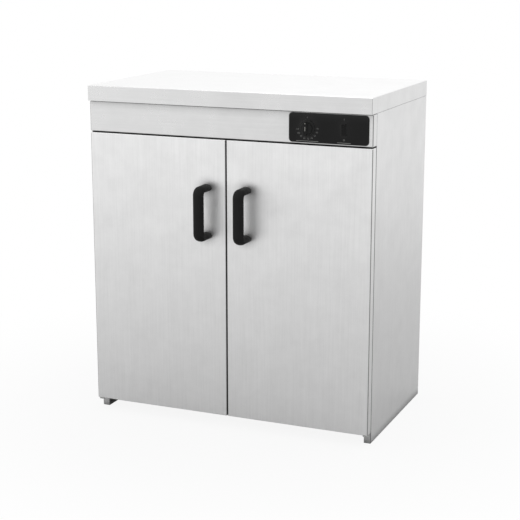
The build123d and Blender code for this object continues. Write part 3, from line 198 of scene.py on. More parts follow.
def belt_polished_steel(name, bright, dull, roughness, grain, cloud=0.05, anisotropy=0.0):
    """Stainless steel polished one way. Its grain runs along one axis."""
    finish, tree, place = new_finish(name)
    sizes = [GRAIN_WIDTH] * 3
    sizes[grain] = GRAIN_LENGTH
    strokes = noise(tree, place, sizes, detail=5.0, rough=0.75)
    clouds = noise(tree, place, [CLOUD_SIZE] * 3, detail=5.0, rough=0.6)
    both = add(
        tree, "ShaderNodeMix", {FACTOR: CLOUD_SHARE}, {VALUE_A: strokes, VALUE_B: clouds},
        data_type="FLOAT",
    )
    gloss = add(
        tree, "ShaderNodeMapRange",
        {**NOISE_RANGE, "To Min": roughness - cloud, "To Max": roughness + cloud},
        {"Value": clouds},
    )
    level = add(tree, "ShaderNodeTangent", direction_type="RADIAL", axis="Z")
    relief = add(
        tree, "ShaderNodeBump", {"Strength": GRAIN_STRENGTH, "Distance": GRAIN_DEPTH},
        {"Height": strokes},
    )
    end_finish(
        tree,
        {"Metallic": 1.0, "Anisotropic": anisotropy},
        {
            # the base colour carries painted shade in its seams
            "Base Color": seamed(tree, toned(tree, both.outputs[MIXED_VALUE], bright, dull)),
            "Roughness": gloss.outputs["Result"],
            "Tangent": level.outputs["Tangent"],
            "Normal": relief.outputs["Normal"],
        },
    )
    return finish


print("strokes start at", round(GRAIN_WIDTH / MM), "by", round(GRAIN_LENGTH / MM), "mm")

# %% [markdown]
# ## The sheets of the casing
#
# The belt ran down the doors and the sides, along the worktop and the fascia, and inwards on the
# inner faces of the feet. Each sheet had its own pass, so gloss differs a little. The worktop's
# tone is lighter than the doors', which is painted light, and the tones of the sides, the fascia
# and the worktop's skirt are darker, which is painted shade. A fold is much darker than a sheet:
# that is painted shade for the line where a fold turns quickly past what lights the sheet.

# %% Finishes of the casing
SIDEWAYS_BLUR = 0.45
DOWN, ALONG, INWARD = 2, 0, 1  # grain down a door, along a fascia, or front to back

satin_down = belt_polished_steel(
    "satin_stainless_upright_grain", "#F2F2F2", "#E2E2E2", 0.38, DOWN, anisotropy=SIDEWAYS_BLUR
)
# a darker tone: painted shade on the fascia and on the front and back of the worktop's skirt
satin_along_painted_shade = belt_polished_steel("satin_stainless_level_grain_painted_shade", "#E1E1E1", "#D5D5D5", 0.3, ALONG)
# a darker tone: painted shade on the sides and on the ends of the worktop's skirt
satin_side_painted_shade = belt_polished_steel(
    "satin_stainless_side_painted_shade", "#EAEAEA", "#DEDEDE", 0.38, DOWN, cloud=0.03, anisotropy=SIDEWAYS_BLUR
)
# a lighter tone: painted light on the worktop's top
satin_top_painted_light = belt_polished_steel("satin_stainless_worktop_painted_light", "#F2F2F2", "#ECECEC", 0.36, ALONG)
satin_inner = belt_polished_steel("satin_stainless_inner", "#D0D0D0", "#C6C6C6", 0.3, INWARD)
# much darker: painted shade along the folds
satin_fold_painted_shade = belt_polished_steel("satin_stainless_fold_painted_shade", "#8C8C8C", "#828282", 0.42, DOWN)

# %% [markdown]
# ## The metals inside
#
# Most sheets of the chamber are left as the mill rolled them: smoother, greyer and slightly warmer
# than the polished casing. The shelf is bright nickel-plated wire. Brackets, pins and screws are
# zinc plated, which shows as a faint yellow and blue cast in small patches. The heater's sheath
# has been hot, so it is brown-grey and dull, and the thermostat's capillary is drawn copper.

# %% Finishes of the fittings
PATCH_POLISH, PATCH_DULLNESS = 0.05, 0.06  # how far a patch falls below or rises above the gloss


def plated(name, bright, dull, roughness, patch):
    """A metal whose tone and gloss change softly over patches of that size."""
    finish, tree, place = new_finish(name)
    patches = noise(tree, place, [patch] * 3, detail=4.0, rough=0.55)
    gloss = add(
        tree, "ShaderNodeMapRange",
        {**NOISE_RANGE, "To Min": roughness - PATCH_POLISH, "To Max": roughness + PATCH_DULLNESS},
        {"Value": patches},
    )
    end_finish(
        tree,
        {"Metallic": 1.0},
        {"Base Color": toned(tree, patches, bright, dull), "Roughness": gloss.outputs["Result"]},
    )
    return finish


liner_steel = belt_polished_steel(
    "mill_finish_stainless", "#CDCCC9", "#C8C7C4", 0.25, DOWN, cloud=0.02
)
nickel_wire = plated("bright_nickel_wire", "#DAD8D2", "#CFCDC8", 0.16, 20 * MM)
zinc_plate = plated("bright_zinc_plate", "#C9C8BE", "#B2B7BC", 0.30, 3 * MM)
oxidised_sheath = plated("oxidised_element_sheath", "#7A7168", "#5E5A58", 0.48, 14 * MM)
drawn_copper = plated("drawn_copper", "#D08A64", "#B8714C", 0.28, 9 * MM)

# %% [markdown]
# ## Mouldings, paint and print
#
# The handles are glass-filled nylon from a spark-eroded mould: nearly black and dull, with a grain
# of about half a millimetre that breaks up the highlight. The knob's mould was polished further,
# so it catches a little light. The control plate is satin paint on metal, just as dark. All three
# reflect less than a gloss plastic does, so their IOR is set below the 1.5 of solid nylon.
#
# The print is one thin coat of white ink, so the black below turns it grey. The pointer is a white
# acetal inlay, which wear and grease have dulled to much the same grey. The terminal block is
# unfilled nylon, which is milky.

# %% Finishes of the mouldings
DRIFT_SIZE = 30 * MM
DRIFT_POLISH, DRIFT_DULLNESS = 0.04, 0.05
PORE_STRENGTH = 0.5


def moulding(name, colour, worn, roughness, grain, depth, ior=1.45):
    """Moulded or painted surface: an even colour that drifts a little, and a fine grain."""
    finish, tree, place = new_finish(name)
    pores = noise(tree, place, [grain] * 3, detail=2.0, rough=0.55)
    drift = noise(tree, place, [DRIFT_SIZE] * 3, detail=3.0, rough=0.55)
    gloss = add(
        tree, "ShaderNodeMapRange",
        {**NOISE_RANGE, "To Min": roughness - DRIFT_POLISH, "To Max": roughness + DRIFT_DULLNESS},
        {"Value": drift},
    )
    relief = add(
        tree, "ShaderNodeBump", {"Strength": PORE_STRENGTH, "Distance": depth}, {"Height": pores}
    )
    end_finish(
        tree,
        {"IOR": ior},
        {
            # the base colour carries painted shade in its seams
            "Base Color": seamed(tree, toned(tree, drift, colour, worn)),
            "Roughness": gloss.outputs["Result"],
            "Normal": relief.outputs["Normal"],
        },
    )
    return finish


black_nylon = moulding(
    "glass_filled_nylon", "#1B1B1B", "#202020", 0.6, 0.45 * MM, 0.03 * MM, ior=1.2
)
knob_nylon = moulding(
    "smooth_nylon_knob", "#1A1A1A", "#202020", 0.42, 0.3 * MM, 0.01 * MM, ior=1.22
)
plate_paint = moulding(
    "satin_black_paint", "#131313", "#161616", 0.45, 0.3 * MM, 0.01 * MM, ior=1.27
)
pad_print = moulding("white_pad_print", "#7E7E7C", "#6C6C6A", 0.6, 0.3 * MM, 0.01 * MM)
faded_print = moulding("grey_pad_print", "#8E8E8C", "#7C7C7A", 0.6, 0.3 * MM, 0.01 * MM)
white_insert = moulding("white_acetal", "#8A8985", "#7E7D79", 0.5, 0.3 * MM, 0.01 * MM)
milky_nylon = moulding(
    "natural_nylon", "#E4DECE", "#D9D2C0", 0.4, 0.5 * MM, 0.02 * MM, ior=1.53
)
catch_plastic = moulding("catch_case_plastic", "#4A4A4A", "#545452", 0.5, 0.4 * MM, 0.03 * MM)

# %% [markdown]
# ## Mineral wool
#
# The insulation is mineral wool board, a pressed mat of yellow-grey fibres. One fibre is a few
# thousandths of a millimetre thick and never shows, so what is drawn is the tufts they lie in,
# 1.5 mm thick. They lie flat in a board that faces the doors, so they are drawn out along X and Z.

# %% Finish of the boards
TUFT = 1.5 * MM
TUFT_DRAWN_OUT = (9, 1, 6)
TUFT_DEPTH = 1.2 * MM
TUFT_STRENGTH = 0.8

mineral_wool, tree, place = new_finish("mineral_wool_board")
tufts = noise(tree, place, [share * TUFT for share in TUFT_DRAWN_OUT], detail=6.0, rough=0.75)
relief = add(
    tree, "ShaderNodeBump", {"Strength": TUFT_STRENGTH, "Distance": TUFT_DEPTH}, {"Height": tufts}
)
end_finish(
    tree,
    {"Roughness": 0.95, "IOR": 1.5},
    {"Base Color": toned(tree, tufts, "#C4B98A", "#94895F"), "Normal": relief.outputs["Normal"]},
)
print("tufts:", [share * TUFT / MM for share in TUFT_DRAWN_OUT], "mm")

# %% [markdown]
# ## A finish for every node of the frame
#
# Each node of the frame names the material slot that it belongs to, so one table from slot to
# finish dresses them all. A second table holds the exceptions. The worktop, the fascia and the
# sides are polished another way than the doors are, and their tones are lit and shaded copies:
# painted light on the worktop, painted shade on the fascia and the sides. The side liners show
# outside as the inner faces of the feet, so they are polished too, from front to back.

# %% Dress the frame
FINISH_OF_SLOT = {
    "brushed_stainless": satin_down,
    "liner_stainless": liner_steel,
    "polished_wire": nickel_wire,
    "zinc_plated_steel": zinc_plate,
    "mineral_wool": mineral_wool,
    "black_moulding": black_nylon,
    "control_plate_black": plate_paint,
    "pointer_white": white_insert,
    "natural_nylon": milky_nylon,
    "element_sheath": oxidised_sheath,
    "copper_capillary": drawn_copper,
    "catch_case": catch_plastic,
}
OWN_FINISH = {
    "worktop": satin_top_painted_light,
    "front_fascia": satin_along_painted_shade,
    "left_side_panel": satin_side_painted_shade,
    "right_side_panel": satin_side_painted_shade,
    "left_side_liner": satin_inner,
    "right_side_liner": satin_inner,
}


def finish_of(node):
    """The finish of a node of the frame."""
    return OWN_FINISH.get(node, FINISH_OF_SLOT[SLOT_OF[node]])


for node, shown in frame["nodes"].items():
    shown.data.materials.clear()
    shown.data.materials.append(finish_of(node))
print("nodes dressed:", len(frame["nodes"]))

# %% [markdown]
# ## From a mesh under construction to a piece
#
# Every new piece ends the same way: its mesh goes into an object that stays at the origin, it gets
# its finish, it rides on the body that carries it, and the nodes of the frame that it stands for
# are hidden. Edges flatter than a set angle are shaded smooth and sharper ones stay crisp, and
# weighted normals keep large flat faces flat right up to a small bend.

# %% Make a piece
SOFT_ANGLE = math.radians(38)


def shade(shape):
    """Smooth shading over every edge that is flatter than the soft angle."""
    for face in shape.faces:
        face.smooth = True
    for edge in shape.edges:
        edge.smooth = len(edge.link_faces) == 2 and edge.calc_face_angle(math.pi) < SOFT_ANGLE


def keep_flat(made):
    """Gives a piece weighted normals, which keep its flat faces flat."""
    normals = made.modifiers.new("flat faces stay flat", "WEIGHTED_NORMAL")
    normals.keep_sharp = True


def piece(shape, name, finish, body, replaced=(), flat=True):
    """Finishes a bmesh as a piece that rides on a body."""
    mesh = bpy.data.meshes.new(name)
    shape.to_mesh(mesh)
    shape.free()
    mesh.materials.append(finish)
    made = bpy.data.objects.new(name, mesh)
    bpy.context.scene.collection.objects.link(made)
    if flat:
        keep_flat(made)
    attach(made, body)
    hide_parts(*replaced)
    print(name, "faces:", len(mesh.polygons))
    return made


print("smooth below", round(math.degrees(SOFT_ANGLE)), "degrees")

# %% [markdown]
# ## Smooth stand-ins for the sheet metal and the rods
#
# The frame's nodes are loose triangles. A copy whose corners are merged can be shaded smoothly
# round its bends and bores, and keeps every hole and fold where the frame has it. That is right
# for folded sheet, wire and pins, whose form is simple and whose look is all in the surface.
#
# On a satin sheet the faces that turn round an upright edge get the finish of a fold, which is much
# darker: painted shade. The back panel is a flat plate and has none.

# %% Merge and shade
MERGE = 0.002 * MM
OBLIQUE = 0.12  # a normal with two parts larger than this belongs to a fold
FOLD = 1  # place of the fold's finish among a piece's materials


def mark_folds(shape):
    """Gives the faces of upright folds the fold's finish, which is painted shade, and all others
    the first one.
    """
    for face in shape.faces:
        across, through, up = [abs(part) > OBLIQUE for part in face.normal]
        face.material_index = FOLD if across and through and not up else 0


def merged(node):
    """A bmesh of a node whose loose triangles are joined."""
    shape = bmesh.new()
    shape.from_mesh(frame["nodes"][node].data)
    bmesh.ops.remove_doubles(shape, verts=shape.verts, dist=MERGE)
    return shape


def smooth_copy(node):
    """A merged, smoothly shaded copy of a node, which stands for it."""
    shape = merged(node)
    shade(shape)
    folded = SLOT_OF[node] == "brushed_stainless" and node != "back_panel"
    if folded:
        mark_folds(shape)
    made = piece(shape, f"{node}_finished", finish_of(node), BODY_OF[node], [node])
    if folded:
        made.data.materials.append(satin_fold_painted_shade)


print("corners merge within", round(MERGE / MM, 3), "mm")

# %% [markdown]
# ## Which nodes keep their form
#
# Most of the frame only needs such a copy. Names that come once for each side are listed without
# the side. The worktop, the handles, the knob and its pointer, the control plate, the back panel's
# screws and the gland follow as pieces of their own. The boards, the stiffeners and the catches
# are plain blocks and channels, and look right as they are.

# %% Copy them
SINGLE = [
    "front_fascia", "back_panel", "back_liner", "chamber_ceiling", "base_pan",
    "perforated_deck", "heating_element", "element_brackets", "wire_shelf", "shelf_clips",
    "thermostat_body", "thermostat_spindle", "capillary", "bulb_clips", "switch_body",
    "switch_rocker", "gland_locknut", "pivot_washers", "worktop_screws", "terminal_block",
]
HANDED = [
    "side_panel", "side_liner", "shelf_racks", "bottom_hinge_bracket", "bottom_pin", "top_pivot",
    "door_skin", "door_liner", "door_bushes", "handle_screws", "strike_plate",
]
for node in SINGLE + [f"{side}_{name}" for side in ("left", "right") for name in HANDED]:
    smooth_copy(node)
print("smooth copies:", len(SINGLE) + 2 * len(HANDED))

# %% [markdown]
# ## Boxes and rounded edges
#
# The worktop, the control plate and the knob's bar are square at heart, so each starts as a box
# between two corners. A bevel then gives it the rounded edges that a press brake, a punch or a
# mould leaves.

# %% Box and bevel
def box_between(shape, low, high):
    """A cuboid between two corners. Returns its vertices."""
    made = bmesh.ops.create_cube(shape, size=1.0)["verts"]
    bmesh.ops.scale(shape, vec=high - low, verts=made)
    bmesh.ops.translate(shape, vec=(low + high) / 2, verts=made)
    return made


def round_edges(shape, edges, size, steps):
    """Bevels edges to rounds of a size."""
    bmesh.ops.bevel(
        shape, geom=edges, offset=size, segments=steps, profile=0.5, affect="EDGES", material=-1
    )


trial = bmesh.new()
box_between(trial, Vector((0, 0, 0)), Vector((3, 2, 1)))
print("a box of 3 by 2 by 1 holds", round(trial.calc_volume(), 3))
trial.free()

# %% [markdown]
# ## The worktop
#
# The top is one tray of 1.2 mm sheet: a skirt folded down all round, its corners welded, ground
# and polished over, and a hem turned in at the bottom. A box without its bottom gives the tray,
# a bevel gives the folds, and the open rim extruded inwards gives the hem. Solidify then adds the
# gauge of the sheet on the inside, so the outer size stays exact.
#
# The belt ran along the front and the back of the skirt and down its ends, so each has its own
# finish beside the top's. The top's finish has a lighter tone, which is painted light, and the
# finishes of the skirt and of the folds are darker, which is painted shade.

# %% Worktop tray
TOP_FOLD = 2.5 * MM
TOP_FOLD_STEPS = 5
TOP_GAUGE = 1.2 * MM
TOP_HEM = 12 * MM
SKIRT, SKIRT_END = FOLD + 1, FOLD + 2  # places of their finishes among the tray's materials

low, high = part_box("worktop")
tray = bmesh.new()
box_between(tray, low, high)
bottom = min(tray.faces, key=lambda face: face.calc_center_median().z)
bmesh.ops.delete(tray, geom=[bottom], context="FACES_ONLY")
folds = [edge for edge in tray.edges if len(edge.link_faces) == 2]
round_edges(tray, folds, TOP_FOLD, TOP_FOLD_STEPS)
rim = [edge for edge in tray.edges if edge.is_boundary]
grown = bmesh.ops.extrude_edge_only(tray, edges=rim)["geom"]
hem = [v for v in grown if isinstance(v, bmesh.types.BMVert)]
middle = (low + high) / 2
shrink = Vector([1 - 2 * TOP_HEM / (high[i] - low[i]) for i in (0, 1)] + [1])
bmesh.ops.scale(tray, vec=shrink, verts=hem, space=Matrix.Translation(-middle))
bmesh.ops.recalc_face_normals(tray, faces=tray.faces)
shade(tray)
mark_folds(tray)
for face in tray.faces:
    if abs(face.normal.y) > 1 - OBLIQUE:
        face.material_index = SKIRT
    elif abs(face.normal.x) > 1 - OBLIQUE:
        face.material_index = SKIRT_END
worktop = piece(
    tray, "worktop_tray", satin_top_painted_light, "cabinet", ["worktop"], flat=False
)
gauge = worktop.modifiers.new("gauge of the sheet", "SOLIDIFY")
gauge.thickness = TOP_GAUGE
gauge.offset = -1.0
# the folds, the skirt's front and back, and its ends get finishes with painted shade
for finish in (satin_fold_painted_shade, satin_along_painted_shade, satin_side_painted_shade):
    worktop.data.materials.append(finish)
keep_flat(worktop)
print("worktop:", [round(s, 3) for s in high - low])

# %% [markdown]
# ## Carrying an outline
#
# A bow handle has the same section all the way, so one outline carried along straight runs and
# quarter turns gives exactly that. Extrude makes a run and spin makes a turn. Both return what
# lies at the far end, which is where the next one starts.

# %% Push and bend
BEND_STEPS = 10


def carried(geometry):
    """The faces and vertices among the far end of an extrude or a spin."""
    faces = [part for part in geometry if isinstance(part, bmesh.types.BMFace)]
    return faces, [part for part in geometry if isinstance(part, bmesh.types.BMVert)]


def push(shape, faces, step):
    """Extrudes a face and moves its end by a vector. Returns the end face."""
    faces, verts = carried(bmesh.ops.extrude_face_region(shape, geom=faces)["geom"])
    bmesh.ops.translate(shape, vec=step, verts=verts)
    return faces


def bend(shape, faces, centre):
    """Spins a face a quarter turn backwards about an axis along X. Returns the end face."""
    outline = list({part for face in faces for part in [face, *face.edges, *face.verts]})
    made = bmesh.ops.spin(
        shape, geom=outline, cent=centre, axis=(1, 0, 0), angle=-math.pi / 2, steps=BEND_STEPS
    )
    return carried(made["geom_last"])[0]


print("each step of a bend turns", 90 / BEND_STEPS, "degrees")

# %% [markdown]
# ## The bow handles
#
# Each handle is one nylon moulding: an oval grip that bends into two legs. The outline starts as a
# disc that is squeezed to the oval and stood against the door. It is carried out from the door,
# round the first bend, up the grip, round the second bend and back to the door. Each spin's centre
# sits one bend radius inside the corner, where a mould maker would put it.

# %% Handle from one outline
GRIP_WIDTH, GRIP_DEPTH = 28 * MM, 18 * MM
GRIP_SIDES = 32
BEND_RADIUS = 13.5 * MM


def bow_handle(side):
    """One bow handle, from its lower foot to its upper one."""
    node = f"{side}_door_handle"
    low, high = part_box(node)
    x = (low.x + high.x) / 2
    foot_low = low.z + GRIP_DEPTH / 2
    foot_high = high.z - GRIP_DEPTH / 2
    reach = high.y - low.y - GRIP_DEPTH / 2
    bend_y = high.y - reach + BEND_RADIUS
    shape = bmesh.new()
    bmesh.ops.create_circle(shape, cap_ends=True, segments=GRIP_SIDES, radius=0.5)
    bmesh.ops.scale(shape, vec=(GRIP_WIDTH, GRIP_DEPTH, 1), verts=shape.verts)
    bmesh.ops.rotate(shape, matrix=Matrix.Rotation(math.pi / 2, 3, "X"), verts=shape.verts)
    bmesh.ops.translate(shape, vec=(x, high.y, foot_low), verts=shape.verts)
    end = push(shape, shape.faces[:], (0, BEND_RADIUS - reach, 0))
    end = bend(shape, end, (x, bend_y, foot_low + BEND_RADIUS))
    end = push(shape, end, (0, 0, foot_high - foot_low - 2 * BEND_RADIUS))
    end = bend(shape, end, (x, bend_y, foot_high - BEND_RADIUS))
    push(shape, end, (0, reach - BEND_RADIUS, 0))
    bmesh.ops.recalc_face_normals(shape, faces=shape.faces)
    shade(shape)
    piece(shape, f"{side}_bow_handle", black_nylon, f"{side}_door", [node])


for side in ("left", "right"):
    bow_handle(side)

# %% [markdown]
# ## The control plate
#
# The plate is a flat black panel with rounded corners and a broken front edge. It starts as a
# box. Its four short edges are bevelled wide for the corners, and then the rim of its front face
# is bevelled by a few tenths of a millimetre.

# %% Control plate
PLATE_CORNER = 9 * MM
PLATE_CORNER_STEPS = 10
PLATE_EDGE = 0.4 * MM


def runs_through(edge):
    """Whether an edge runs from front to back."""
    return abs(edge.verts[0].co.y - edge.verts[1].co.y) > MERGE


def front_rim(shape):
    """The edges round the front face."""
    return min(shape.faces, key=lambda face: face.calc_center_median().y).edges[:]


low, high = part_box("control_plate")
plate_front = low.y
shape = bmesh.new()
box_between(shape, low, high)
corners = [edge for edge in shape.edges if runs_through(edge)]
round_edges(shape, corners, PLATE_CORNER, PLATE_CORNER_STEPS)
round_edges(shape, front_rim(shape), PLATE_EDGE, 2)
shade(shape)
piece(
    shape, "control_plate_painted", plate_paint, "cabinet",
    ["control_plate"],
)

# %% [markdown]
# ## Turned forms and flutes
#
# The knob and the cap of the cable gland are both turned: half of the section is a short outline
# of radii and reaches, and a full spin about the axis closes it. Both are fluted for the fingers
# as well. Their walls are drawn in and out by a cosine, a fraction of a millimetre deep.

# %% Turn and flute
FACE_FRONT = Matrix.Rotation(math.pi / 2, 4, "X")  # turns the XY plane to face -Y


def turned(shape, outline, centre, steps):
    """Spins an outline of (radius, reach towards -Y) points about an axis along Y."""
    points = [shape.verts.new(centre + Vector((r, -reach, 0))) for r, reach in outline]
    sides = [shape.edges.new(pair) for pair in zip(points, points[1:])]
    bmesh.ops.spin(
        shape, geom=points + sides, cent=centre, axis=(0, 1, 0), angle=2 * math.pi,
        steps=steps, use_merge=True,
    )
    bmesh.ops.remove_doubles(shape, verts=shape.verts, dist=MERGE)


def flute(shape, centre, inner, outer, count, depth):
    """Draws in what lies between two radii, so that flutes run round an axis along Y."""
    for vert in shape.verts:
        out = vert.co - centre
        radius = math.hypot(out.x, out.z)
        if inner < radius < outer:
            wave = math.cos(count * math.atan2(out.z, out.x))
            pull = 1 - depth * (1 - wave) / 2 / radius
            vert.co.x = centre.x + out.x * pull
            vert.co.z = centre.z + out.z * pull


print("FACE_FRONT turns +Z to", [round(part) for part in FACE_FRONT @ Vector((0, 0, 1))])

# %% [markdown]
# ## The thermostat knob
#
# A knob of this kind is a turned form with a bar across it: a thin skirt that hides the hole, a
# tapered and fluted body, and a raised bar for the fingers. The turned form comes first.

# %% Knob, turned and fluted
KNOB_SKIRT = 3.5 * MM
KNOB_BODY = (15.5 * MM, 14.3 * MM)  # radius at the skirt and at the front
KNOB_BODY_FRONT = 9 * MM
KNOB_EDGE = 0.8 * MM
KNOB_STEPS = 72
FLUTE_COUNT = 36
FLUTE_DEPTH = 0.35 * MM

low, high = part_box("thermostat_knob")
knob_centre = Vector(((low.x + high.x) / 2, high.y, (low.z + high.z) / 2))
knob_radius = (high.x - low.x) / 2
outline = [
    (0, 0), (knob_radius - KNOB_EDGE, 0), (knob_radius, KNOB_EDGE),
    (knob_radius - 0.6 * KNOB_EDGE, KNOB_SKIRT - 0.5 * KNOB_EDGE),
    (knob_radius - 1.4 * KNOB_EDGE, KNOB_SKIRT), (KNOB_BODY[0] + 0.3 * KNOB_EDGE, KNOB_SKIRT),
    (KNOB_BODY[0], KNOB_SKIRT + 0.4 * KNOB_EDGE), (KNOB_BODY[1], KNOB_BODY_FRONT - KNOB_EDGE),
    (KNOB_BODY[1] - KNOB_EDGE, KNOB_BODY_FRONT), (0, KNOB_BODY_FRONT + 0.4 * KNOB_EDGE),
]
shape = bmesh.new()
turned(shape, outline, knob_centre, KNOB_STEPS)
flute(shape, knob_centre, KNOB_BODY[1] - MERGE, KNOB_BODY[0] + MERGE, FLUTE_COUNT, FLUTE_DEPTH)
print("knob:", round(2 * knob_radius / MM, 1), "mm across, body faces:", len(shape.faces))

# %% [markdown]
# ## The knob's bar
#
# The bar is a bevelled box that runs through the body, which is how the mould is cut too. Its ends
# are rounded across nearly the whole width, and the rim that the fingers meet is only softened.

# %% Bar
KNOB_BAR = (9 * MM, 33 * MM)  # width and length

bar_half = Vector((KNOB_BAR[0] / 2, 0, KNOB_BAR[1] / 2))
bar = box_between(
    shape,
    Vector((knob_centre.x, low.y, knob_centre.z)) - bar_half,
    knob_centre + bar_half - Vector((0, KNOB_SKIRT / 2, 0)),
)
bar_edges = list({edge for vert in bar for edge in vert.link_edges})
ends = [edge for edge in bar_edges if runs_through(edge)]
round_edges(shape, ends, KNOB_BAR[0] / 2 - KNOB_EDGE, 6)
round_edges(shape, front_rim(shape), KNOB_EDGE, 3)
bmesh.ops.recalc_face_normals(shape, faces=shape.faces)
shade(shape)
piece(
    shape, "thermostat_knob_moulding", knob_nylon, "thermostat_control",
    ["thermostat_knob"],
)

# %% [markdown]
# ## The knob's pointer
#
# A white line let into the bar shows the knob's heading, and a dot at one end says which end
# points at the scale. Both are pressed in nearly flush, and stand out by a hair so that they show.

# %% Pointer
INDEX_LINE = (2 * MM, 10 * MM)  # width and length
INDEX_DOT = 1.4 * MM
PROUD = 0.05 * MM

low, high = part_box("knob_pointer")
low.y -= PROUD
half = Vector((INDEX_LINE[0] / 2, (high.y - low.y) / 2, INDEX_LINE[1] / 2))
line_centre = Vector((knob_centre.x, (low.y + high.y) / 2, knob_centre.z))
shape = bmesh.new()
box_between(shape, line_centre - half, line_centre + half)
bmesh.ops.create_cone(
    shape, cap_ends=True, segments=24, radius1=INDEX_DOT, radius2=INDEX_DOT,
    depth=high.y - low.y,
    matrix=Matrix.Translation((knob_centre.x, line_centre.y, high.z - INDEX_DOT)) @ FACE_FRONT,
)
rims = [edge for edge in shape.edges if edge.calc_face_angle(0) > SOFT_ANGLE]
round_edges(shape, rims, PROUD / 2, 2)
shade(shape)
piece(
    shape, "knob_pointer_insert", white_insert, "thermostat_control",
    ["knob_pointer"],
)

# %% [markdown]
# ## Ways to print
#
# Print is a film of ink, so each mark is a mesh a few hundredths of a millimetre thick. Numbers
# start as a text curve, which is made a mesh before it is placed. A dot is a filled circle, a ring
# is two circles bridged, and a rule is a thin box.

# %% Numbers, dots and rules of ink
INK = 0.06 * MM
INK_SIDES = 24
CAPITAL = 0.7  # height of a capital, as a share of the font's size
print_front = plate_front - INK


def add_text(shape, words, height, centre):
    """Adds printed characters, centred on a point of the plate, to a bmesh."""
    curve = bpy.data.curves.new("print", "FONT")
    curve.body = words
    curve.size = height / CAPITAL
    curve.align_x = "CENTER"
    curve.align_y = "CENTER"
    curve.extrude = INK / 2
    curve.resolution_u = 3
    text = bpy.data.objects.new("print", curve)
    bpy.context.scene.collection.objects.link(text)
    bpy.context.view_layer.update()
    settled = text.evaluated_get(bpy.context.evaluated_depsgraph_get())
    mesh = bpy.data.meshes.new_from_object(settled)
    mesh.transform(Matrix.Translation(centre) @ FACE_FRONT)
    shape.from_mesh(mesh)
    bpy.data.objects.remove(text)
    bpy.data.curves.remove(curve)
    bpy.data.meshes.remove(mesh)


def add_circle(shape, centre, radius, filled):
    """Adds a circle on the plate. Returns its vertices."""
    return bmesh.ops.create_circle(
        shape, cap_ends=filled, segments=INK_SIDES, radius=radius,
        matrix=Matrix.Translation(centre) @ FACE_FRONT,
    )["verts"]


def add_ring(shape, centre, outer, inner):
    """Adds a printed ring."""
    rims = add_circle(shape, centre, outer, False) + add_circle(shape, centre, inner, False)
    bmesh.ops.bridge_loops(shape, edges=list({edge for vert in rims for edge in vert.link_edges}))


def add_rule(shape, centre, width, height):
    """Adds a printed bar."""
    half = Vector((width / 2, INK / 2, height / 2))
    box_between(shape, centre - half, centre + half)


print("ink stands at y =", round(print_front / MM, 2), "mm")

# %% [markdown]
# ## The thermostat's scale
#
# The scale is plain: 0 at the top for off, then the numbers from 30 to 110 from the right round
# the lower side to the left, with a dot inside each.

# %% Scale
NUMBER_HEIGHT = 3.6 * MM
NUMBER_RING = 25.6 * MM
DOT_RING = 22.2 * MM
DOT_RADIUS = 0.5 * MM
NUMBERS = range(30, 111, 10)
FIRST_ANGLE = math.radians(90)  # clockwise from the top
ANGLE_STEP = math.radians(21.5)


def on_scale(ring, angle):
    """A point of the plate's face, clockwise from the top of the scale."""
    across, up = ring * math.sin(angle), ring * math.cos(angle)
    return Vector((knob_centre.x + across, print_front, knob_centre.z + up))


scale_print = bmesh.new()
for count, number in enumerate(NUMBERS):
    angle = FIRST_ANGLE + count * ANGLE_STEP
    add_text(scale_print, str(number), NUMBER_HEIGHT, on_scale(NUMBER_RING, angle))
    add_circle(scale_print, on_scale(DOT_RING, angle), DOT_RADIUS, True)
add_text(scale_print, "0", NUMBER_HEIGHT, on_scale(NUMBER_RING, 0))
print("numbers:", list(NUMBERS))

# %% [markdown]
# ## Marks of the switch, and the rules
#
# A line above the switch stands for on and a ring below it for off. A thin grey rule closes each
# of the two groups at the plate's lower edge.

# %% Switch marks and rules
MARK_OFFSET = 24.3 * MM  # from the middle of the switch
ON_LINE = (0.9 * MM, 4.2 * MM)  # width and height
OFF_RING = (2.2 * MM, 1.4 * MM)  # outer and inner radius
RULE_RISE = 3.8 * MM  # plate's lower edge to the rules
RULE_HEIGHT = 1.1 * MM
KNOB_RULE, SWITCH_RULE = 56 * MM, 34 * MM

low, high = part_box("switch_body")
switch_x, switch_z = (low.x + high.x) / 2, (low.z + high.z) / 2
add_rule(scale_print, Vector((switch_x, print_front, switch_z + MARK_OFFSET)), *ON_LINE)
add_ring(scale_print, Vector((switch_x, print_front, switch_z - MARK_OFFSET)), *OFF_RING)
bmesh.ops.recalc_face_normals(scale_print, faces=scale_print.faces)
piece(scale_print, "scale_print", pad_print, "cabinet", flat=False)

rules = bmesh.new()
rule_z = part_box("control_plate")[0].z + RULE_RISE
for x, width in ((knob_centre.x, KNOB_RULE), (switch_x, SWITCH_RULE)):
    add_rule(rules, Vector((x, print_front, rule_z)), width, RULE_HEIGHT)
piece(rules, "group_rules_print", faded_print, "cabinet", flat=False)

# %% [markdown]
# ## Where the screws are
#
# The frame keeps the ten screws of the back panel in one node. Their heads are modelled again, so
# each screw's place is needed. A merged copy of the node falls into one shell for each screw, and
# walking from a vertex to its neighbours until none is left finds a shell.

# %% Separate shells of a node
def shells(node):
    """The low and the high corner of each separate shell of a node."""
    loose = merged(node)
    left, found = set(loose.verts), []
    while left:
        spots, waiting = [], [left.pop()]
        while waiting:
            vert = waiting.pop()
            spots.append(vert.co)
            beside = {edge.other_vert(vert) for edge in vert.link_edges} & left
            left -= beside
            waiting += beside
        found.append([Vector([pick(s[i] for s in spots) for i in range(3)]) for pick in (min, max)])
    loose.free()
    return found


screw_boxes = shells("back_panel_screws")
print("screws:", len(screw_boxes))

# %% [markdown]
# ## Pan heads with a cross recess
#
# A driver's cross is what tells a screw from a rivet. The head starts as a grid of three by three
# squares. The middle five are sunk for the cross, and the grid's rim of twelve edges is bridged
# out to rings of twelve edges that make the dome.

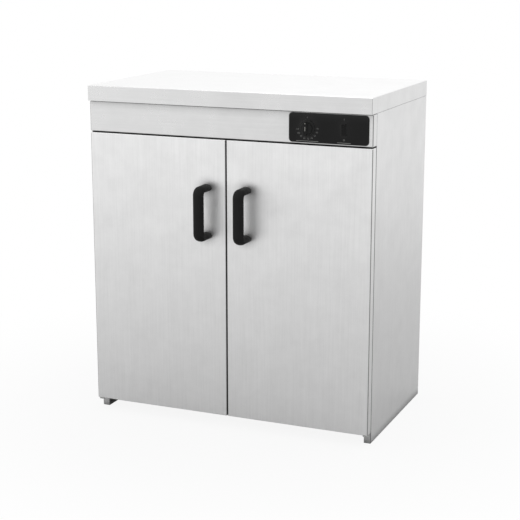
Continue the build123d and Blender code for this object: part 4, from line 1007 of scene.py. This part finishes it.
# %% Screw heads
HEAD_SIDES = 12
HEAD_HEIGHT = 2.2 * MM
GRID = 0.36  # half of the grid's width, as a share of the head's radius
MIDDLE = 0.1  # a square whose centre is nearer than this to an axis belongs to the cross
RECESS = 1.0 * MM
DOME = [(0.72, 1.0), (0.93, 0.72), (1.0, 0.3), (1.0, 0.0)]  # radius and height, as shares


def pan_head(shape, place, radius):
    """Adds a pan head with a cross recess. It stands along the matrix's Z axis."""
    grid = bmesh.ops.create_grid(
        shape, x_segments=3, y_segments=3, size=GRID * radius,
        matrix=Matrix.Translation((0, 0, HEAD_HEIGHT)),
    )["verts"]
    squares = {face for vert in grid for face in vert.link_faces}
    cross = [
        face for face in squares
        if min(abs(part) for part in face.calc_center_median().xy) < MIDDLE * radius
    ]
    rim = [edge for edge in {e for vert in grid for e in vert.link_edges} if edge.is_boundary]
    sunk = carried(bmesh.ops.extrude_face_region(shape, geom=cross)["geom"])[1]
    bmesh.ops.delete(shape, geom=cross, context="FACES_ONLY")
    bmesh.ops.translate(shape, vec=(0, 0, -RECESS), verts=sunk)
    made = {*grid, *sunk}
    for share, rise in DOME:
        ring = bmesh.ops.create_circle(
            shape, segments=HEAD_SIDES, radius=share * radius,
            matrix=Matrix.Translation((0, 0, rise * HEAD_HEIGHT)),
        )["verts"]
        made |= set(ring)
        loop = list({edge for vert in ring for edge in vert.link_edges})
        bmesh.ops.bridge_loops(shape, edges=rim + loop)
        rim = loop
    bmesh.ops.transform(shape, matrix=place, verts=list(made))


heads = bmesh.new()
face_back = Matrix.Rotation(-math.pi / 2, 4, "X")  # turns +Z to +Y
for low, high in screw_boxes:
    seat = Vector(((low.x + high.x) / 2, high.y - HEAD_HEIGHT, (low.z + high.z) / 2))
    pan_head(heads, Matrix.Translation(seat) @ face_back, (high.x - low.x) / 2)
bmesh.ops.recalc_face_normals(heads, faces=heads.faces)
shade(heads)
piece(
    heads, "back_screw_heads", zinc_plate, "cabinet", ["back_panel_screws"],
    flat=False,
)

# %% [markdown]
# ## The cable gland
#
# The mains lead enters through a nylon gland: a hexagon against the panel, and a domed and fluted
# cap that would squeeze a seal round the lead. No lead is fitted, so its bore is open. The cap is
# turned from an outline and fluted in a bmesh of its own, so that the hexagon stays plain.

# %% Gland outside the back panel
GLAND_HEX_HEIGHT = 5 * MM
GLAND_EDGE = 0.5 * MM
GLAND_CAP = 11 * MM
GLAND_BORE = 5 * MM
GLAND_FLUTES = 18
GLAND_FLUTE_DEPTH = 0.5 * MM

low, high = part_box("cable_gland")
panel_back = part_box("back_panel")[1].y
gland_centre = Vector(((low.x + high.x) / 2, panel_back, (low.z + high.z) / 2))
gland_reach = high.y - panel_back
shape = bmesh.new()
hexagon = bmesh.ops.create_cone(
    shape, cap_ends=True, segments=6, radius1=(high.x - low.x) / 2, radius2=(high.x - low.x) / 2,
    depth=GLAND_HEX_HEIGHT,
    matrix=Matrix.Translation(gland_centre + Vector((0, GLAND_HEX_HEIGHT / 2, 0))) @ FACE_FRONT,
)["verts"]
hex_edges = list({edge for vert in hexagon for edge in vert.link_edges})
round_edges(shape, hex_edges, GLAND_EDGE, 2)
outline = [  # radii, and reaches that are below zero because the gland points backwards
    (GLAND_CAP, -GLAND_HEX_HEIGHT), (GLAND_CAP, -0.72 * gland_reach),
    (0.94 * GLAND_CAP, -0.86 * gland_reach), (0.8 * GLAND_CAP, -0.96 * gland_reach),
    (0.62 * GLAND_CAP, -gland_reach), (GLAND_BORE + 0.8 * GLAND_EDGE, -gland_reach),
    (GLAND_BORE, GLAND_EDGE - gland_reach), (GLAND_BORE, -0.3 * gland_reach),
]
cap = bmesh.new()
turned(cap, outline, gland_centre, 4 * GLAND_FLUTES)
flute(cap, gland_centre, 0.9 * GLAND_CAP, math.inf, GLAND_FLUTES, GLAND_FLUTE_DEPTH)
capped = bpy.data.meshes.new("cap")
cap.to_mesh(capped)
cap.free()
shape.from_mesh(capped)
bpy.data.meshes.remove(capped)
bmesh.ops.recalc_face_normals(shape, faces=shape.faces)
shade(shape)
piece(shape, "gland_cap_and_hexagon", black_nylon, "cabinet", ["cable_gland"])

# %% [markdown]
# ## The floor
#
# A catalogue picture stands on a white sweep, which has no horizon. A flat sheet does the same
# when its far edge is too far away to be seen.

# %% Floor
FLOOR_SIZE = 120.0

shape = bmesh.new()
bmesh.ops.create_grid(shape, x_segments=1, y_segments=1, size=FLOOR_SIZE / 2)
mesh = bpy.data.meshes.new("floor")
shape.to_mesh(mesh)
shape.free()
floor = bpy.data.objects.new("floor", mesh)
bpy.context.scene.collection.objects.link(floor)
print("floor:", FLOOR_SIZE, "m wide")

# %% [markdown]
# ## White paper that takes a shadow
#
# The floor is plain and pale and takes the cabinet's soft shadow. Towards the camera it is lifted
# to the white of the backdrop, and further out it is the backdrop for reflections too, so polished
# steel shows a bright horizon and, near the cabinet, the floor as it is lit. The doors then grade
# from light at the top to grey at the foot.
#
# The finish mixes lit paper with white by two shares. Each is a distance from the cabinet turned
# to a share, times the kind of ray that asks: the camera's, or one that a mirror or glass sends.

# %% Finish of the floor
PAPER = "#D0D0D0"
WHITE = "#FFFFFF"
SEEN_NEAR, SEEN_FAR = 0.3, 1.2  # metres over which the camera's floor turns to backdrop
MIRRORED_NEAR, MIRRORED_FAR = 0.0, 4.5  # and the floor that polished steel reflects
SHADOW_SHARE = 0.10  # how much of the lit floor the camera sees close to the cabinet

sweep, tree, place = new_finish("white_sweep")
rays = add(tree, "ShaderNodeLightPath").outputs
away = add(tree, "ShaderNodeVectorMath", links={0: place}, operation="LENGTH").outputs["Value"]
seen = add(
    tree, "ShaderNodeMapRange",
    {"From Min": SEEN_NEAR, "From Max": SEEN_FAR, "To Min": 1 - SHADOW_SHARE, "To Max": 1.0},
    {"Value": away}, interpolation_type="SMOOTHSTEP",
)
mirrored = add(
    tree, "ShaderNodeMapRange", {"From Min": MIRRORED_NEAR, "From Max": MIRRORED_FAR},
    {"Value": away}, interpolation_type="SMOOTHSTEP",
)
to_camera = add(
    tree, "ShaderNodeMath", links={0: rays["Is Camera Ray"], 1: seen.outputs["Result"]},
    operation="MULTIPLY",
)
polished = add(
    tree, "ShaderNodeMath",
    links={0: rays["Is Glossy Ray"], 1: rays["Is Transmission Ray"]}, operation="MAXIMUM",
)
to_mirror = add(
    tree, "ShaderNodeMath", links={0: polished.outputs[0], 1: mirrored.outputs["Result"]},
    operation="MULTIPLY",
)
share = add(
    tree, "ShaderNodeMath", links={0: to_camera.outputs[0], 1: to_mirror.outputs[0]},
    operation="MAXIMUM",
)
paper = add(tree, "ShaderNodeBsdfDiffuse", {"Color": linear(PAPER)})
backdrop = add(tree, "ShaderNodeEmission", {"Color": linear(WHITE), "Strength": 1.0})
mixed = add(
    tree, "ShaderNodeMixShader",
    links={0: share.outputs[0], 1: paper.outputs[0], 2: backdrop.outputs[0]},
)
add(tree, "ShaderNodeOutputMaterial", links={"Surface": mixed.outputs[0]})
floor.data.materials.append(sweep)
print("white to the camera from", SEEN_FAR, "m and in mirrors from", MIRRORED_FAR, "m")

# %% [markdown]
# ## The room
#
# The room is a plain white surround. What the camera, a mirror or glass sees of it is pure white,
# while as a lamp it is a little weaker, which leaves room for two lamps.

# %% World
FILL = 0.72

world = bpy.data.worlds.new("white surround")
bpy.context.scene.world = world
world.use_nodes = True
tree = world.node_tree
tree.nodes.clear()
rays = add(tree, "ShaderNodeLightPath").outputs
direct = add(
    tree, "ShaderNodeMath", links={0: rays["Is Camera Ray"], 1: rays["Is Glossy Ray"]},
    operation="MAXIMUM",
)
clear = add(
    tree, "ShaderNodeMath", links={0: direct.outputs[0], 1: rays["Is Transmission Ray"]},
    operation="MAXIMUM",
)
strength = add(
    tree, "ShaderNodeMapRange", {"To Min": FILL, "To Max": 1.0}, {"Value": clear.outputs[0]}
)
surround = add(
    tree, "ShaderNodeBackground", {"Color": linear(WHITE)},
    {"Strength": strength.outputs["Result"]},
)
add(tree, "ShaderNodeOutputWorld", links={"Surface": surround.outputs[0]})
print("surround lights with", FILL, "and shows as 1.0")

# %% [markdown]
# ## Lamps
#
# A large soft box stands well to the left, in front of the doors and at about twice the cabinet's
# height, so the doors fall off to the right and the handles throw soft shadows that way. A wider
# one hangs overhead and lights the worktop, and the worktop's lighter finish, which is painted
# light, keeps it the palest sheet. Both are broad, so no edge burns out.

# %% Lamps
def soft_box(name, at, towards, size, power):
    """A square area lamp that looks at a point."""
    lamp = bpy.data.lights.new(name, "AREA")
    lamp.shape = "SQUARE"
    lamp.size = size
    lamp.energy = power
    stand = bpy.data.objects.new(name, lamp)
    bpy.context.scene.collection.objects.link(stand)
    stand.location = at
    stand.rotation_euler = (Vector(towards) - Vector(at)).to_track_quat("-Z", "Y").to_euler()
    print(name, "from", round((Vector(at) - Vector(towards)).length, 2), "m away")


soft_box("key at the front left", at=(-3.2, -2.4, 1.8), towards=(0, 0, 0.6), size=1.8, power=26)
soft_box("overhead", at=(0.2, 0.4, 3.4), towards=(0, 0, 0.85), size=2.4, power=30)

# %% [markdown]
# ## Camera
#
# The camera stands to the right of the cabinet at about chest height and looks down a little,
# with a long lens. It has no shift, so that a view from any other side is centred as well.

# %% Camera
EYE = Vector((1.331, -3.137, 1.199))
YAW, PITCH = math.radians(22.9), math.radians(13.3)
SENSOR = 36  # millimetres, as the focal length
FOCAL = 92.6
HORIZON = 200  # metres, beyond the far edge of the floor

camera_data = bpy.data.cameras.new("camera")
camera_data.sensor_width = SENSOR
camera_data.lens = FOCAL
camera_data.clip_end = HORIZON
camera = bpy.data.objects.new("camera", camera_data)
bpy.context.scene.collection.objects.link(camera)
camera.location = EYE
looking = Vector(
    (-math.sin(YAW) * math.cos(PITCH), math.cos(YAW) * math.cos(PITCH), -math.sin(PITCH))
)
camera.rotation_euler = looking.to_track_quat("-Z", "Y").to_euler()
bpy.context.scene.camera = camera
bpy.context.scene.view_settings.view_transform = "Standard"
print("field of view:", round(math.degrees(2 * math.atan(SENSOR / 2 / FOCAL)), 1), "degrees")
